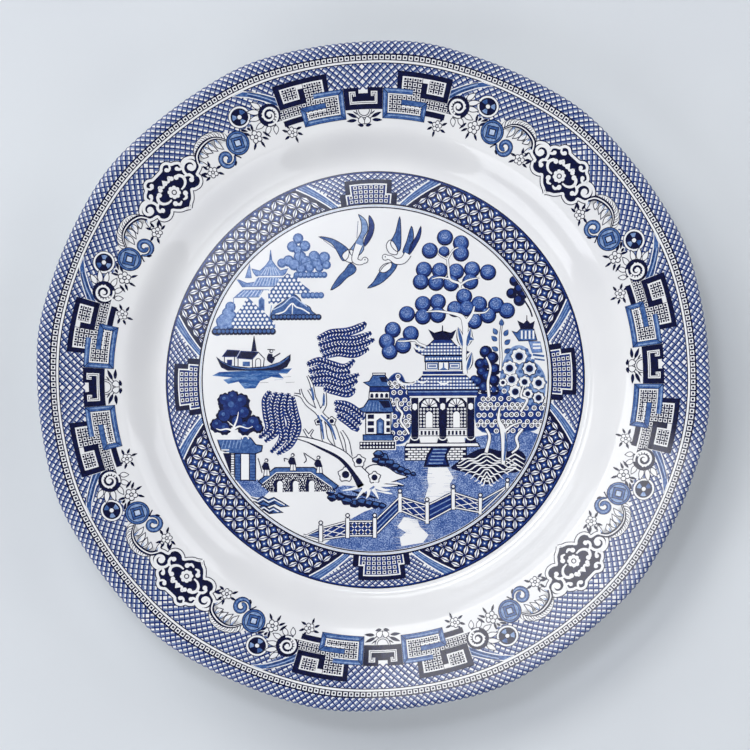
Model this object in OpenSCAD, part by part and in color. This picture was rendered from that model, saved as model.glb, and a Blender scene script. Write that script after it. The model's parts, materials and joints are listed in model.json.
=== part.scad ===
// China dinner plate: one fired earthenware body with a turned foot ring and a lip of
// twelve shallow lobes, carrying three underglaze transfer prints: the border on the rim,
// the ring band at the edge of the well and the landscape inside it.
// The origin is the centre of the foot ring on the table, +Z is up, and -Y is the side
// from which the landscape stands upright.

/* [Plate] */
// Width across the lip from lobe crest to lobe crest
lip_d = 260.8; // [250:0.2:280]
// Height of the lip above the table
plate_h = 24.8; // [22:0.2:30]
// Height of the flat well above the table
well_h = 6.2; // [5.4:0.1:8]
// Radius of the flat well
well_r = 82.8; // [80:0.2:84]
// Radius at which the curved wall of the well turns into the rim
shoulder_r = 98; // [96:0.5:102]
// Height of that shoulder above the table
shoulder_h = 16; // [14:0.2:18]

/* [Wall] */
// Thickness of the floor under the well
floor_t = 4.4; // [3.6:0.1:5]
// Thickness at the lip, which is fully rounded
lip_t = 3.4; // [2.6:0.1:4]

/* [Lobes] */
// Number of shallow lobes round the lip
lobe_count = 12; // [8:1:16]
// Distance from the plate's axis to the axis of each lobe's arc
lobe_shift = 22; // [14:1:26]
// Angle of the first lobe's crest, anticlockwise from +X
lobe_turn = 21.75; // [0:0.25:45]
// Depth to which the lobes trim the rounded lip at their crests
lobe_trim = 0.25; // [0.2:0.05:0.5]

/* [Foot ring] */
// Outer radius of the foot ring at its standing edge
foot_r = 79; // [76:0.5:79]
// Width of the standing edge
foot_w = 2.6; // [2:0.1:4]
// Slope allowance of each side of the foot ring
foot_draft = 0.9; // [0.5:0.1:1.5]

/* [Prints] */
// Thickness of each printed layer with the glaze over it
print_t = 0.12; // [0.1:0.01:0.2]
// Inner radius of the border print
border_in_r = 100.4; // [99:0.2:104]
// Outer radius of the border print
border_out_r = 128; // [124:0.2:128]
// Outer radius of the ring band
band_out_r = 81.4;  // [81:0.2:82.6]
// Inner radius of the ring band, where the landscape begins
band_in_r = 67;  // [66:0.2:70]

/* [Hidden] */
$fn = 96;
STEPS = 12;  // steps along each curved stretch of the section

lip_r = lip_t / 2;
lip_c = [lip_d / 2 + lobe_trim - lip_r, plate_h - lip_r];  // centre of the rounded lip
to_lip = lip_c - [shoulder_r, shoulder_h];
rim_angle = atan2(to_lip[1], to_lip[0]) + asin(lip_r / norm(to_lip));
rim_slope = tan(rim_angle);
rim_end_r = lip_c[0] - lip_r * sin(rim_angle);  // where the rim meets the rounded lip
lobe_arc_r = lip_d / 2 - lobe_shift;

// Share of the way across the curved wall of the well
function across(r) = min(1, max(0, (r - well_r) / (shoulder_r - well_r)));

// Height of the upper surface: flat well, cubic wall, straight rim
function top_h(r) =
    let (s = across(r), rise = shoulder_h - well_h, run = shoulder_r - well_r)
    well_h + rise * s * s * (3 - 2 * s) + run * rim_slope * s * s * (s - 1)
    + max(0, r - shoulder_r) * rim_slope;

// Slope of the upper surface
function top_slope(r) =
    let (s = across(r), rise = shoulder_h - well_h, run = shoulder_r - well_r)
    s >= 1 ? rim_slope : rise / run * 6 * s * (1 - s) + rim_slope * s * (3 * s - 2);

// Wall thickness square to the upper surface, thinning evenly from the well to the lip
function wall_t(r) =
    floor_t + (lip_t - floor_t) * min(1, max(0, (r - well_r) / (rim_end_r - well_r)));

// Height of the underside
function under_h(r) = top_h(r) - wall_t(r) * sqrt(1 + pow(top_slope(r), 2));

// Radii along the curved wall, from the well to the shoulder
wall_rs = [for (i = [0:STEPS]) well_r + (shoulder_r - well_r) * i / STEPS];

module body_section() {
    top = [for (r = wall_rs) [r, top_h(r)]];
    lip = [for (i = [0:STEPS]) let (a = 90 + rim_angle - 180 * i / STEPS)
        lip_c + lip_r * [cos(a), sin(a)]];
    under = [for (i = [STEPS:-1:0]) [wall_rs[i], under_h(wall_rs[i])]];
    foot_top = well_h - floor_t;
    foot = [
        [foot_r + foot_draft, foot_top],
        [foot_r, 0],
        [foot_r - foot_w, 0],
        [foot_r - foot_w - foot_draft, foot_top],
    ];
    polygon(concat([[0, well_h]], top, lip, under, foot, [[0, foot_top]]));
}

// The lobed outline as a tall solid: one cylinder to each lobe
module lobes() {
    for (i = [0:lobe_count - 1])
        rotate(lobe_turn + 360 / lobe_count * i) translate([lobe_shift, 0, -5])
            cylinder(r = lobe_arc_r, h = plate_h + 10);
}

// A printed layer lying on the upper surface between two radii
module printed_ring(in_r, out_r) {
    rotate_extrude() polygon([
        [in_r, top_h(in_r)],
        [out_r, top_h(out_r)],
        [out_r, top_h(out_r) + print_t],
        [in_r, top_h(in_r) + print_t],
    ]);
}

module plate_body() {
    color("#e9e9ec") intersection() {
        rotate_extrude() body_section();
        lobes();
    }
}

module border_print() {
    color("#4a5a92") printed_ring(border_in_r, border_out_r);
}

module band_print() {
    color("#54639a") printed_ring(band_in_r, band_out_r);
}

module landscape_print() {
    color("#8594bd") translate([0, 0, well_h]) cylinder(r = band_in_r, h = print_t);
}

plate_body();
border_print();
band_print();
landscape_print();
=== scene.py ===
"""Visual model of a china dinner plate: a lobed earthenware body under a clear glaze, with a
transfer-printed border, ring band and landscape. Sizes are in millimetres until mesh time."""

import json
import logging
import math
import random
from collections.abc import Callable, Iterable, Sequence
from dataclasses import dataclass
from enum import Enum

import bmesh
import bpy
from mathutils import Matrix, Vector
from mathutils.geometry import interpolate_bezier

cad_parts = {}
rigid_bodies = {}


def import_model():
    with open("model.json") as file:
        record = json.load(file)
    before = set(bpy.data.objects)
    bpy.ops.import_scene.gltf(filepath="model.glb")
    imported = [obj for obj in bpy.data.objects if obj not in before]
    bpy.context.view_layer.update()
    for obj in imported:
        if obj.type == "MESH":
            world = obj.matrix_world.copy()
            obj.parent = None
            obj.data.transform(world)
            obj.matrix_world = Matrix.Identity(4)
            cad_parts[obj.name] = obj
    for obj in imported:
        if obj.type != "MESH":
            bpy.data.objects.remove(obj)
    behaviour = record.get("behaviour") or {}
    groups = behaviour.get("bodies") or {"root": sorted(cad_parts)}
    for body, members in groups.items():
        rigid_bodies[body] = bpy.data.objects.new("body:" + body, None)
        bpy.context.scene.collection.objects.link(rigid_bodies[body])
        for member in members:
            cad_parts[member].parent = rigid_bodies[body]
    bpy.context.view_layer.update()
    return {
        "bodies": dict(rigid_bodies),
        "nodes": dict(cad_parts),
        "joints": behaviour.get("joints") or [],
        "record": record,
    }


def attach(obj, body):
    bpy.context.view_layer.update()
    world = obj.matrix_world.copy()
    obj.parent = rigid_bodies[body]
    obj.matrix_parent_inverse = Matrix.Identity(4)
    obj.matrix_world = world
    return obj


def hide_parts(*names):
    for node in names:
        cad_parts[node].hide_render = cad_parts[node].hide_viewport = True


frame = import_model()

LOG = logging.getLogger("dinner_plate")
MM = 0.001
Point = tuple[float, float]
Drape = Callable[[float, float, float], tuple[float, float, float]]


# ---------------------------------------------------------------- colours and node helper


def linear(hex_colour: str) -> tuple[float, float, float, float]:
    """Turns an sRGB hex colour into the linear colour that shaders take.

    Args:
        hex_colour: six hex digits after a hash, such as "#0a1440".

    Returns:
        Linear red, green and blue, and an alpha of 1.
    """
    parts = [int(hex_colour[i : i + 2], 16) / 255 for i in (1, 3, 5)]
    red, green, blue = (p / 12.92 if p <= 0.04045 else ((p + 0.055) / 1.055) ** 2.4 for p in parts)
    return red, green, blue, 1.0


def add_node(tree: bpy.types.NodeTree, kind: str, inputs: dict | None = None, **settings) -> bpy.types.Node:
    """Adds one node with its settings and its input values or links.

    Args:
        tree: the material's node tree.
        kind: the node's type name, such as "ShaderNodeMix".
        inputs: input name or number to a value, or to an output socket to link from.
        settings: the node's own properties.

    Returns:
        The new node.
    """
    node = tree.nodes.new(kind)
    for name, value in settings.items():
        setattr(node, name, value)
    for name, value in (inputs or {}).items():
        if isinstance(value, bpy.types.NodeSocket):
            tree.links.new(value, node.inputs[name])
        else:
            node.inputs[name].default_value = value
    return node


def ramp(tree: bpy.types.NodeTree, factor: bpy.types.NodeSocket,
        stops: Sequence[tuple[float, str]]) -> bpy.types.NodeSocket:
    """Adds a colour ramp of hex stops over a factor.

    Args:
        tree: the material's node tree.
        factor: the socket that runs along the ramp.
        stops: positions from 0 to 1, each with its hex colour.

    Returns:
        The ramp's colour output.
    """
    node = add_node(tree, "ShaderNodeValToRGB", {"Fac": factor})
    band = node.color_ramp
    while len(band.elements) < len(stops):
        band.elements.new(1.0)
    for element, (place, colour) in zip(band.elements, stops):
        element.position = place
        element.color = linear(colour)
    return node.outputs["Color"]


# ---------------------------------------------------------------- finishes


@dataclass(frozen=True)
class Glaze:
    """Clear lead-free gloss glaze, dipped and fired: a wet, faintly rippled shine."""

    roughness: float = 0.075
    ior: float = 1.5
    ripple_mm: float = 9.0
    ripple_depth: float = 0.02

    def finish(self, material: bpy.types.Material, colour: bpy.types.NodeSocket, place: bpy.types.NodeSocket) -> None:
        """Gives a material the glaze's gloss over a colour.

        Args:
            material: the material, with an empty node tree.
            colour: the colour under the glaze.
            place: the object coordinates that the ripple follows.
        """
        tree = material.node_tree
        ripple = add_node(tree, "ShaderNodeTexNoise",
            {"Vector": place, "Scale": 1 / (self.ripple_mm * MM), "Detail": 1.0})
        bump = add_node(
            tree,
            "ShaderNodeBump",
            {"Height": ripple.outputs["Fac"], "Strength": 1.0, "Distance": self.ripple_depth * MM},
        )
        sheen = add_node(
            tree,
            "ShaderNodeMapRange",
            {"Value": ripple.outputs["Fac"], "To Min": self.roughness * 0.85, "To Max": self.roughness * 1.25},
        )
        shader = add_node(
            tree,
            "ShaderNodeBsdfPrincipled",
            {
                "Base Color": colour,
                "Roughness": sheen.outputs["Result"],
                "IOR": self.ior,
                "Normal": bump.outputs["Normal"],
            },
        )
        add_node(tree, "ShaderNodeOutputMaterial", {"Surface": shader.outputs["BSDF"]})


GLAZE = Glaze()


def new_material(name: str) -> tuple[bpy.types.Material, bpy.types.NodeTree, bpy.types.NodeSocket]:
    """Makes an empty node material.

    Args:
        name: the real material's name.

    Returns:
        The material, its tree and its object coordinates.
    """
    material = bpy.data.materials.new(name)
    material.use_nodes = True
    tree = material.node_tree
    tree.nodes.clear()
    place = add_node(tree, "ShaderNodeTexCoord").outputs["Object"]
    return material, tree, place


@dataclass(frozen=True)
class Earthenware:
    """White earthenware under clear glaze: milky, faintly cloudy, with a few fine iron specks."""

    name: str = "glazed_white_earthenware"
    body: str = "#f0f0f0"
    cloud: str = "#ebebec"
    speck: str = "#b9b4ab"
    cloud_mm: float = 30.0
    speck_mm: float = 2.6

    def build(self) -> bpy.types.Material:
        """Builds the material."""
        material, tree, place = new_material(self.name)
        cloud = add_node(tree, "ShaderNodeTexNoise",
            {"Vector": place, "Scale": 1 / (self.cloud_mm * MM), "Detail": 2.0})
        milk = ramp(tree, cloud.outputs["Fac"], [(0.35, self.cloud), (0.65, self.body)])
        dots = add_node(tree, "ShaderNodeTexVoronoi", {"Vector": place, "Scale": 1 / (self.speck_mm * MM)})
        near = add_node(
            tree,
            "ShaderNodeMapRange",
            {"Value": dots.outputs["Distance"], "From Min": 0.02, "From Max": 0.05, "To Min": 0.45, "To Max": 0.0},
        )
        few = add_node(tree, "ShaderNodeMath", {0: dots.outputs["Color"], 1: 0.93}, operation="GREATER_THAN")
        seen = add_node(tree, "ShaderNodeMath", {0: near.outputs["Result"], 1: few.outputs[0]}, operation="MULTIPLY")
        both = add_node(
            tree,
            "ShaderNodeMix",
            {"Factor": seen.outputs[0], "A": milk, "B": linear(self.speck)},
            data_type="RGBA",
        )
        GLAZE.finish(material, both.outputs["Result"], place)
        return material


@dataclass(frozen=True)
class BareFoot:
    """Unglazed, worn standing edge of the foot ring: dry, cream and slightly grey from use."""

    name: str = "bare_fired_earthenware"
    clay: str = "#d8cdb8"
    wear: str = "#a79f90"
    grain_mm: float = 0.8

    def build(self) -> bpy.types.Material:
        """Builds the material."""
        material, tree, place = new_material(self.name)
        grain = add_node(tree, "ShaderNodeTexNoise",
            {"Vector": place, "Scale": 1 / (self.grain_mm * MM), "Detail": 6.0})
        colour = ramp(tree, grain.outputs["Fac"], [(0.4, self.clay), (0.72, self.wear)])
        bump = add_node(
            tree, "ShaderNodeBump", {"Height": grain.outputs["Fac"], "Strength": 0.6, "Distance": 0.05 * MM}
        )
        shader = add_node(
            tree,
            "ShaderNodeBsdfPrincipled",
            {"Base Color": colour, "Roughness": 0.85, "Normal": bump.outputs["Normal"]},
        )
        add_node(tree, "ShaderNodeOutputMaterial", {"Surface": shader.outputs["BSDF"]})
        return material


@dataclass(frozen=True)
class Cobalt:
    """Cobalt underglaze ink from an engraved plate: a tone that pools and thins, over fine grain.

    The stretch makes the mottling run in streaks, as where the engraver cut long lines.
    """

    name: str
    deep: str
    tone: str
    light: str
    mottle_mm: float = 1.6
    grain_mm: float = 0.45
    grain_share: float = 0.35
    stretch: tuple[float, float, float] = (1.0, 1.0, 1.0)
    low: float = 0.34
    high: float = 0.68

    def build(self) -> bpy.types.Material:
        """Builds the material."""
        material, tree, place = new_material(self.name)
        along = add_node(tree, "ShaderNodeMapping", {"Vector": place, "Scale": self.stretch}).outputs["Vector"]
        mottle = add_node(tree, "ShaderNodeTexNoise",
            {"Vector": along, "Scale": 1 / (self.mottle_mm * MM), "Detail": 3.0})
        grain = add_node(tree, "ShaderNodeTexNoise",
            {"Vector": along, "Scale": 1 / (self.grain_mm * MM), "Detail": 2.0})
        both = add_node(
            tree,
            "ShaderNodeMix",
            {"Factor": self.grain_share, "A": mottle.outputs["Fac"], "B": grain.outputs["Fac"]},
            data_type="FLOAT",
        )
        middle = (self.low + self.high) / 2
        colour = ramp(tree, both.outputs["Result"],
            [(self.low, self.deep), (middle, self.tone), (self.high, self.light)])
        GLAZE.finish(material, colour, place)
        return material


class Ink(Enum):
    """The tones that the engraving prints, each named for its job on the plate."""

    WHITE = "white"  # the unprinted white of the ware between printed shapes
    NAVY = "navy"
    DEEP = "deep"
    BLUE = "blue"
    SOFT = "soft"
    DASH = "dash"
    PALE = "pale"
    STIPPLE = "stipple"
    FRUIT = "fruit"
    WATER = "water"
    DISTANT = "distant"


WHITE, NAVY, DEEP, BLUE, SOFT, DASH, PALE, STIPPLE, FRUIT, WATER, DISTANT = Ink


FINISHES: dict[Ink, Earthenware | Cobalt] = {
    # Unprinted ware seen between the inks: brighter beside the blue, as the eye sees it
    WHITE: Earthenware("reserved_white_ware", "#f3f3f3", "#eeeeef"),
    # Fully charged engraving: almost black blue with a violet heart
    NAVY: Cobalt("dense_cobalt_print", "#03082a", "#060c36", "#0c1848"),
    # Close hatching: a deep blue ground
    DEEP: Cobalt("close_hatched_cobalt_print", "#0c1f5a", "#152e72", "#27478c", mottle_mm=1.4),
    # Cross-hatched engraving: clear cobalt with darker and paler streaks
    BLUE: Cobalt("hatched_cobalt_print", "#223f7c", "#3c5f9a", "#6685b4", mottle_mm=1.2),
    # Finer hatching: a greyish sky blue
    SOFT: Cobalt("fine_hatched_cobalt_print", "#5874aa", "#7d98c4", "#a4b9da", mottle_mm=1.2),
    # The short grey strokes in the trellis
    DASH: Cobalt("grey_cobalt_stroke", "#4a5b84", "#687aa2", "#8999bd", mottle_mm=3.0),
    # Lightest wash
    PALE: Cobalt("pale_cobalt_wash", "#a3b6da", "#c0cfe8", "#d8e2f2", mottle_mm=1.5),
    # Punched stipple: blue dots on white
    STIPPLE: Cobalt(
        "stippled_cobalt_print", "#22407f", "#4e6ba8", "#a8badb", mottle_mm=3.5, grain_mm=0.45, grain_share=0.72,
        low=0.36, high=0.64,
    ),
    # Stippled round fruit tree
    FRUIT: Cobalt("dotted_cobalt_print", "#213f85", "#3e62a6", "#86a3d4", mottle_mm=1.5, grain_share=0.6),
    # Water under the boat: brushed level streaks
    WATER: Cobalt("streaked_cobalt_print", "#0f357c", "#2f5fa0", "#86aad6", mottle_mm=3.0, stretch=(0.45, 2.4, 1.0)),
    # Far shore: the palest engraved lines
    DISTANT: Cobalt("distant_cobalt_print", "#4c6aa8", "#7491c6", "#a0b8dd", mottle_mm=1.0),
}


class Finishes:
    """Builds each finish once and hands it out."""

    def __init__(self) -> None:
        """Starts with nothing built."""
        self.made: dict[str, bpy.types.Material] = {}

    def get(self, finish: Earthenware | Cobalt | BareFoot) -> bpy.types.Material:
        """Returns the finish's material, building it the first time."""
        if finish.name not in self.made:
            self.made[finish.name] = finish.build()
        return self.made[finish.name]


FINISH = Finishes()


# ---------------------------------------------------------------- the plate's own surface


@dataclass(frozen=True)
class Section:
    """The turned section of the plate, in the driving sizes of the CAD part."""

    lip_d: float = 260.8
    plate_h: float = 24.8
    well_h: float = 6.2
    well_r: float = 82.8
    shoulder_r: float = 98.0
    shoulder_h: float = 16.0
    floor_t: float = 4.4
    lip_t: float = 3.4
    lobe_count: int = 12
    lobe_turn: float = 21.75
    lobe_rise: float = 0.45
    lobe_from_r: float = 112.0
    foot_r: float = 79.0
    foot_w: float = 2.6
    foot_draft: float = 0.9

    @property
    def lip_r(self) -> float:
        """Radius of the rounded lip."""
        return self.lip_t / 2

    @property
    def lip_centre(self) -> Point:
        """Centre of the rounded lip, as radius and height, at a lobe's mean."""
        return self.lip_d / 2 - self.lobe_rise - self.lip_r, self.plate_h - self.lip_r

    @property
    def rim_angle(self) -> float:
        """Angle at which the straight rim rises to the lip."""
        run = self.lip_centre[0] - self.shoulder_r
        rise = self.lip_centre[1] - self.shoulder_h
        return math.atan2(rise, run) + math.asin(self.lip_r / math.hypot(run, rise))

    @property
    def rim_end_r(self) -> float:
        """Radius at which the rim meets the rounded lip."""
        return self.lip_centre[0] - self.lip_r * math.sin(self.rim_angle)

    def top(self, r: float) -> Point:
        """Height and slope of the upper surface at a radius."""
        slope = math.tan(self.rim_angle)
        if r <= self.well_r:
            return self.well_h, 0.0
        if r >= self.rim_end_r:
            out = min(r - self.lip_centre[0], self.lip_r * 0.97)
            up = math.sqrt(self.lip_r**2 - out**2)
            return self.lip_centre[1] + up, -out / up
        if r >= self.shoulder_r:
            return self.shoulder_h + (r - self.shoulder_r) * slope, slope
        run = self.shoulder_r - self.well_r
        rise = self.shoulder_h - self.well_h
        s = (r - self.well_r) / run
        height = self.well_h + rise * s * s * (3 - 2 * s) + run * slope * s * s * (s - 1)
        return height, rise / run * 6 * s * (1 - s) + slope * s * (3 * s - 2)

    def under(self, r: float) -> float:
        """Height of the underside at a radius, one wall thickness below the upper surface."""
        height, slope = self.top(r)
        share = min(1.0, max(0.0, (r - self.well_r) / (self.rim_end_r - self.well_r)))
        wall = self.floor_t + (self.lip_t - self.floor_t) * share
        return height - wall * math.sqrt(1 + slope * slope)

    def lobed(self, r: float, angle: float) -> float:
        """Moves a radius out or in with the lobes, more towards the lip."""
        share = min(1.0, max(0.0, (r - self.lobe_from_r) / (self.rim_end_r - self.lobe_from_r)))
        turn = math.radians(self.lobe_turn)
        wave = math.cos(self.lobe_count * (angle - turn)) + 0.18 * math.cos(2 * self.lobe_count * (angle - turn))
        return r + self.lobe_rise * share * share * (wave - 0.18)

    def on_top(self, angle: float, r: float, lift: float) -> tuple[float, float, float]:
        """Places a point on the upper surface.

        Args:
            angle: angle round the plate in radians, anticlockwise from +X.
            r: radius in millimetres.
            lift: height above the surface, square to it, in millimetres.

        Returns:
            The point in metres.
        """
        height, slope = self.top(r)
        square = math.sqrt(1 + slope * slope)
        out = self.lobed(r, angle) - lift * slope / square
        return out * math.cos(angle) * MM, out * math.sin(angle) * MM, (height + lift / square) * MM


SECTION = Section()


# ---------------------------------------------------------------- flat drawing tools


def arc(centre: Point, radius: float, start: float, end: float, steps: int = 12) -> list[Point]:
    """Points along a circular arc, with its angles in degrees anticlockwise from +X."""
    turns = [math.radians(start + (end - start) * i / steps) for i in range(steps + 1)]
    return [(centre[0] + radius * math.cos(a), centre[1] + radius * math.sin(a)) for a in turns]


def spot(centre: Point, radius: float, degrees: float) -> Point:
    """The point of a circle at an angle in degrees anticlockwise from +X."""
    return arc(centre, radius, degrees, degrees, 1)[0]


def wavy(centre: Point, radius: float, waves: int, depth: float, steps: int, phase: float = 0.0) -> list[Point]:
    """Points round a circle whose radius rises and falls by a share of itself, in whole waves."""
    out = []
    for turn in (math.radians(360 / steps * i) for i in range(steps)):
        reach = radius * (1 + depth * math.sin(waves * turn + phase))
        out.append((centre[0] + reach * math.cos(turn), centre[1] + reach * math.sin(turn)))
    return out


def coil(centre: Point, outer: float, inner: float, start: float, turn: float, steps: int = 22) -> list[Point]:
    """Points along a spiral from its outer end to its inner end, with its angles in degrees."""
    return [spot(centre, outer + (inner - outer) * i / steps, start + turn * i / steps) for i in range(steps + 1)]


def smooth(points: Sequence[Point], closed: bool = False, steps: int = 5) -> list[Point]:
    """Runs a smooth curve through a few chosen points.

    Args:
        points: the points that the curve passes.
        closed: whether it returns to its start.
        steps: curve steps between two points.

    Returns:
        The curve's points.
    """
    count = len(points)
    at = [Vector((*p, 0.0)) for p in points]
    out: list[Point] = []
    for i in range(count if closed else count - 1):
        before, here = at[i - 1 if closed or i else 0], at[i]
        there = at[(i + 1) % count]
        after = at[(i + 2) % count if closed else min(i + 2, count - 1)]
        curve = interpolate_bezier(here, here + (there - before) / 6, there - (after - here) / 6, there, steps + 1)
        out += [(p.x, p.y) for p in curve[:-1]]
    return out if closed else out + [points[-1]]


def moved(points: Iterable[Point], to: Point, turn: float = 0.0) -> list[Point]:
    """Turns and moves points.

    Args:
        points: the points, about their own origin.
        to: where the origin goes.
        turn: degrees anticlockwise.

    Returns:
        The moved points.
    """
    cos, sin = math.cos(math.radians(turn)), math.sin(math.radians(turn))
    return [(to[0] + x * cos - y * sin, to[1] + x * sin + y * cos) for x, y in points]


def leaf_outline(root: Point, tip: Point, width: float, bend: float = 0.0) -> list[Point]:
    """A pointed leaf from root to tip, its widest part nearer the root, bent sideways by a share of its length."""
    dx, dy = tip[0] - root[0], tip[1] - root[1]
    length = math.hypot(dx, dy)
    nx, ny = -dy / length, dx / length
    left, right = [], []
    for i in range(9):
        s = i / 8
        half = width / 2 * math.sin(math.pi * s**0.8) ** 0.9
        side = bend * length * math.sin(math.pi * s)
        x, y = root[0] + dx * s + nx * side, root[1] + dy * s + ny * side
        left.append((x + nx * half, y + ny * half))
        right.append((x - nx * half, y - ny * half))
    return left + right[-2:0:-1]


class Sheet:
    """One printed piece: flat shapes in several inks, drawn on a flat sheet and laid on the plate.

    Each shape has a level. Shapes on a higher level cover those on a lower one, a hair's
    breadth above them, as the engraver's whites and blues overlie in the print. Shapes of the
    same level are still a little apart, so that no two faces lie in one plane.
    """

    LEVEL = 0.011  # millimetres between one level and the next
    made = 0

    def __init__(self, name: str, node: str, slot: str) -> None:
        """Starts an empty sheet that stands for part of a CAD print node."""
        self.name, self.node, self.slot = name, node, slot
        self.bm = bmesh.new()
        self.inks: list[Ink] = []
        self.drawn = 0
        Sheet.made += 1
        self.base = 0.004 * Sheet.made

    def height(self, level: float) -> float:
        """Returns the level of the next shape, moved by its own small step."""
        self.drawn += 1
        return level + self.base + 0.02 * (self.drawn % 20)

    def tone(self, ink: Ink) -> int:
        """Returns the ink's material number on this sheet."""
        if ink not in self.inks:
            self.inks.append(ink)
        return self.inks.index(ink)

    def patch(self, outline: Sequence[Point], ink: Ink, level: float) -> None:
        """Adds a filled shape."""
        level = self.height(level)
        face = self.bm.faces.new([self.bm.verts.new((x, y, level)) for x, y in outline])
        face.material_index = self.tone(ink)

    def ribbon(
        self, path: Sequence[Point], width: float | Sequence[float], ink: Ink, level: float, closed: bool = False
    ) -> None:
        """Adds a line of a given width along a path, with mitred corners.

        Args:
            path: the points of its middle line.
            width: its width, or its widths at even steps from start to end.
            ink: its ink.
            level: its level.
            closed: whether the line returns to its start.
        """
        level = self.height(level)
        count = len(path)
        widths = [width] if isinstance(width, (int, float)) else list(width)
        pairs = []
        for i, (x, y) in enumerate(path):
            before = path[i - 1] if i or closed else path[0]
            after = path[(i + 1) % count] if i < count - 1 or closed else path[-1]
            ax, ay, bx, by = x - before[0], y - before[1], after[0] - x, after[1] - y
            la, lb = math.hypot(ax, ay) or 1.0, math.hypot(bx, by) or 1.0
            tx, ty = ax / la + bx / lb, ay / la + by / lb
            lt = math.hypot(tx, ty) or 1.0
            reach = min(2.0, 2 / lt) if closed or 0 < i < count - 1 else 1.0
            along = i / max(1, count - 1) * (len(widths) - 1)
            low = min(int(along), len(widths) - 1)
            high = min(low + 1, len(widths) - 1)
            half = (widths[low] + (widths[high] - widths[low]) * (along - low)) / 2 * reach
            nx, ny = -ty / lt * half, tx / lt * half
            pairs.append((self.bm.verts.new((x + nx, y + ny, level)), self.bm.verts.new((x - nx, y - ny, level))))
        steps = list(zip(pairs, pairs[1:])) + ([(pairs[-1], pairs[0])] if closed else [])
        number = self.tone(ink)
        for (a, b), (c, d) in steps:
            self.bm.faces.new((a, b, d, c)).material_index = number

    def disc(self, centre: Point, radius: float, ink: Ink, level: float, sides: int = 14) -> None:
        """Adds a filled circle."""
        self.patch(arc(centre, radius, 0, 360 * (sides - 1) / sides, sides - 1), ink, level)

    def ring(self, centre: Point, radius: float, width: float, ink: Ink, level: float, sides: int = 16) -> None:
        """Adds a circular line."""
        path = arc(centre, radius, 0, 360 * (sides - 1) / sides, sides - 1)
        self.ribbon(path, width, ink, level, closed=True)

    def box(self, low: Point, high: Point, ink: Ink, level: float) -> None:
        """Adds a filled rectangle between two corners."""
        self.patch([low, (high[0], low[1]), high, (low[0], high[1])], ink, level)

    def shape(self, outline: Sequence[Point], fill: Ink, line: Ink, width: float, level: float) -> None:
        """Adds a filled shape with a line round it, half a level higher."""
        self.patch(outline, fill, level)
        self.ribbon(outline, width, line, level + 0.5, closed=True)

    def leaf(self, root: Point, tip: Point, width: float, level: float, bend: float = 0.0, ink: Ink = NAVY) -> None:
        """Adds a pointed leaf."""
        self.patch(leaf_outline(root, tip, width, bend), ink, level)

    def sprig_flower(self, centre: Point, size: float, level: float) -> None:
        """Adds a small white flower with five outlined petals and a ringed eye."""
        for out, petal, ink, lift in ((0.62, 0.46, NAVY, 0), (0.6, 0.33, WHITE, 1)):
            for i in range(5):
                self.disc(spot(centre, size * out, 90 + 72 * i), size * petal, ink, level + lift, 10)
        self.disc(centre, size * 0.36, NAVY, level + 1.5, 10)
        self.disc(centre, size * 0.2, WHITE, level + 2, 8)

    def slice(self, axis: int, places: Iterable[float]) -> None:
        """Cuts the faces that cross lines at the given places of one axis."""
        normal = (1, 0, 0) if axis == 0 else (0, 1, 0)
        for place in places:
            long = [f for f in self.bm.faces if min(s := [v.co[axis] for v in f.verts]) < place < max(s)]
            parts = {g for f in long for g in (f, *f.edges, *f.verts)}
            if parts:
                point = (place, 0, 0) if axis == 0 else (0, place, 0)
                bmesh.ops.bisect_plane(self.bm, geom=list(parts), plane_co=point, plane_no=normal, dist=1e-6)

    def fold_out(self, drapes: Sequence[Drape], cut: float = 0.0, rings: Sequence[float] = ()) -> bpy.types.Object:
        """Cuts long faces, lays one copy of the drawing in each place and makes the object.

        Args:
            drapes: for each copy, a function from x, y and lift in millimetres to a point in metres.
            cut: spacing in millimetres of the upright cuts that let faces follow a curve.
            rings: heights of level cuts for the same purpose.

        Returns:
            The finished object, riding on the plate and standing for its CAD node.
        """
        art = self.bm
        bmesh.ops.triangulate(art, faces=[f for f in art.faces if len(f.verts) > 4])
        if cut:
            xs = [v.co.x for v in art.verts]
            self.slice(0, [i * cut for i in range(int(min(xs) // cut) + 1, int(max(xs) // cut) + 1)])
        self.slice(1, rings)
        whole = bmesh.new()
        for drape in drapes:
            places = {v: whole.verts.new(drape(v.co.x, v.co.y, (v.co.z + 1) * self.LEVEL)) for v in art.verts}
            for face in art.faces:
                copy = whole.faces.new([places[v] for v in face.verts])
                copy.material_index = face.material_index
        art.free()
        whole.normal_update()
        bmesh.ops.reverse_faces(whole, faces=[f for f in whole.faces if f.normal.z < 0])
        return finish_piece(whole, self.name, [FINISH.get(FINISHES[i]) for i in self.inks], self.slot, [self.node])


def finish_piece(
    bm: bmesh.types.BMesh, name: str, materials: Sequence[bpy.types.Material], slot: str, nodes: Sequence[str]
) -> bpy.types.Object:
    """Makes an object of a finished bmesh and joins it to the frame.

    Args:
        bm: the mesh in metres, in the plate's frame.
        name: the piece's name.
        materials: its finishes in order.
        slot: the record's material slot; not used.
        nodes: CAD nodes that it stands for.

    Returns:
        The object.
    """
    mesh = bpy.data.meshes.new(name)
    bm.to_mesh(mesh)
    bm.free()
    piece = bpy.data.objects.new(name, mesh)
    bpy.context.scene.collection.objects.link(piece)
    for material in materials:
        mesh.materials.append(material)
    mesh.shade_smooth()
    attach(piece, "root")
    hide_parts(*nodes)
    LOG.info("%s: %d faces", name, len(mesh.polygons))
    return piece


# ---------------------------------------------------------------- body


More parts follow.
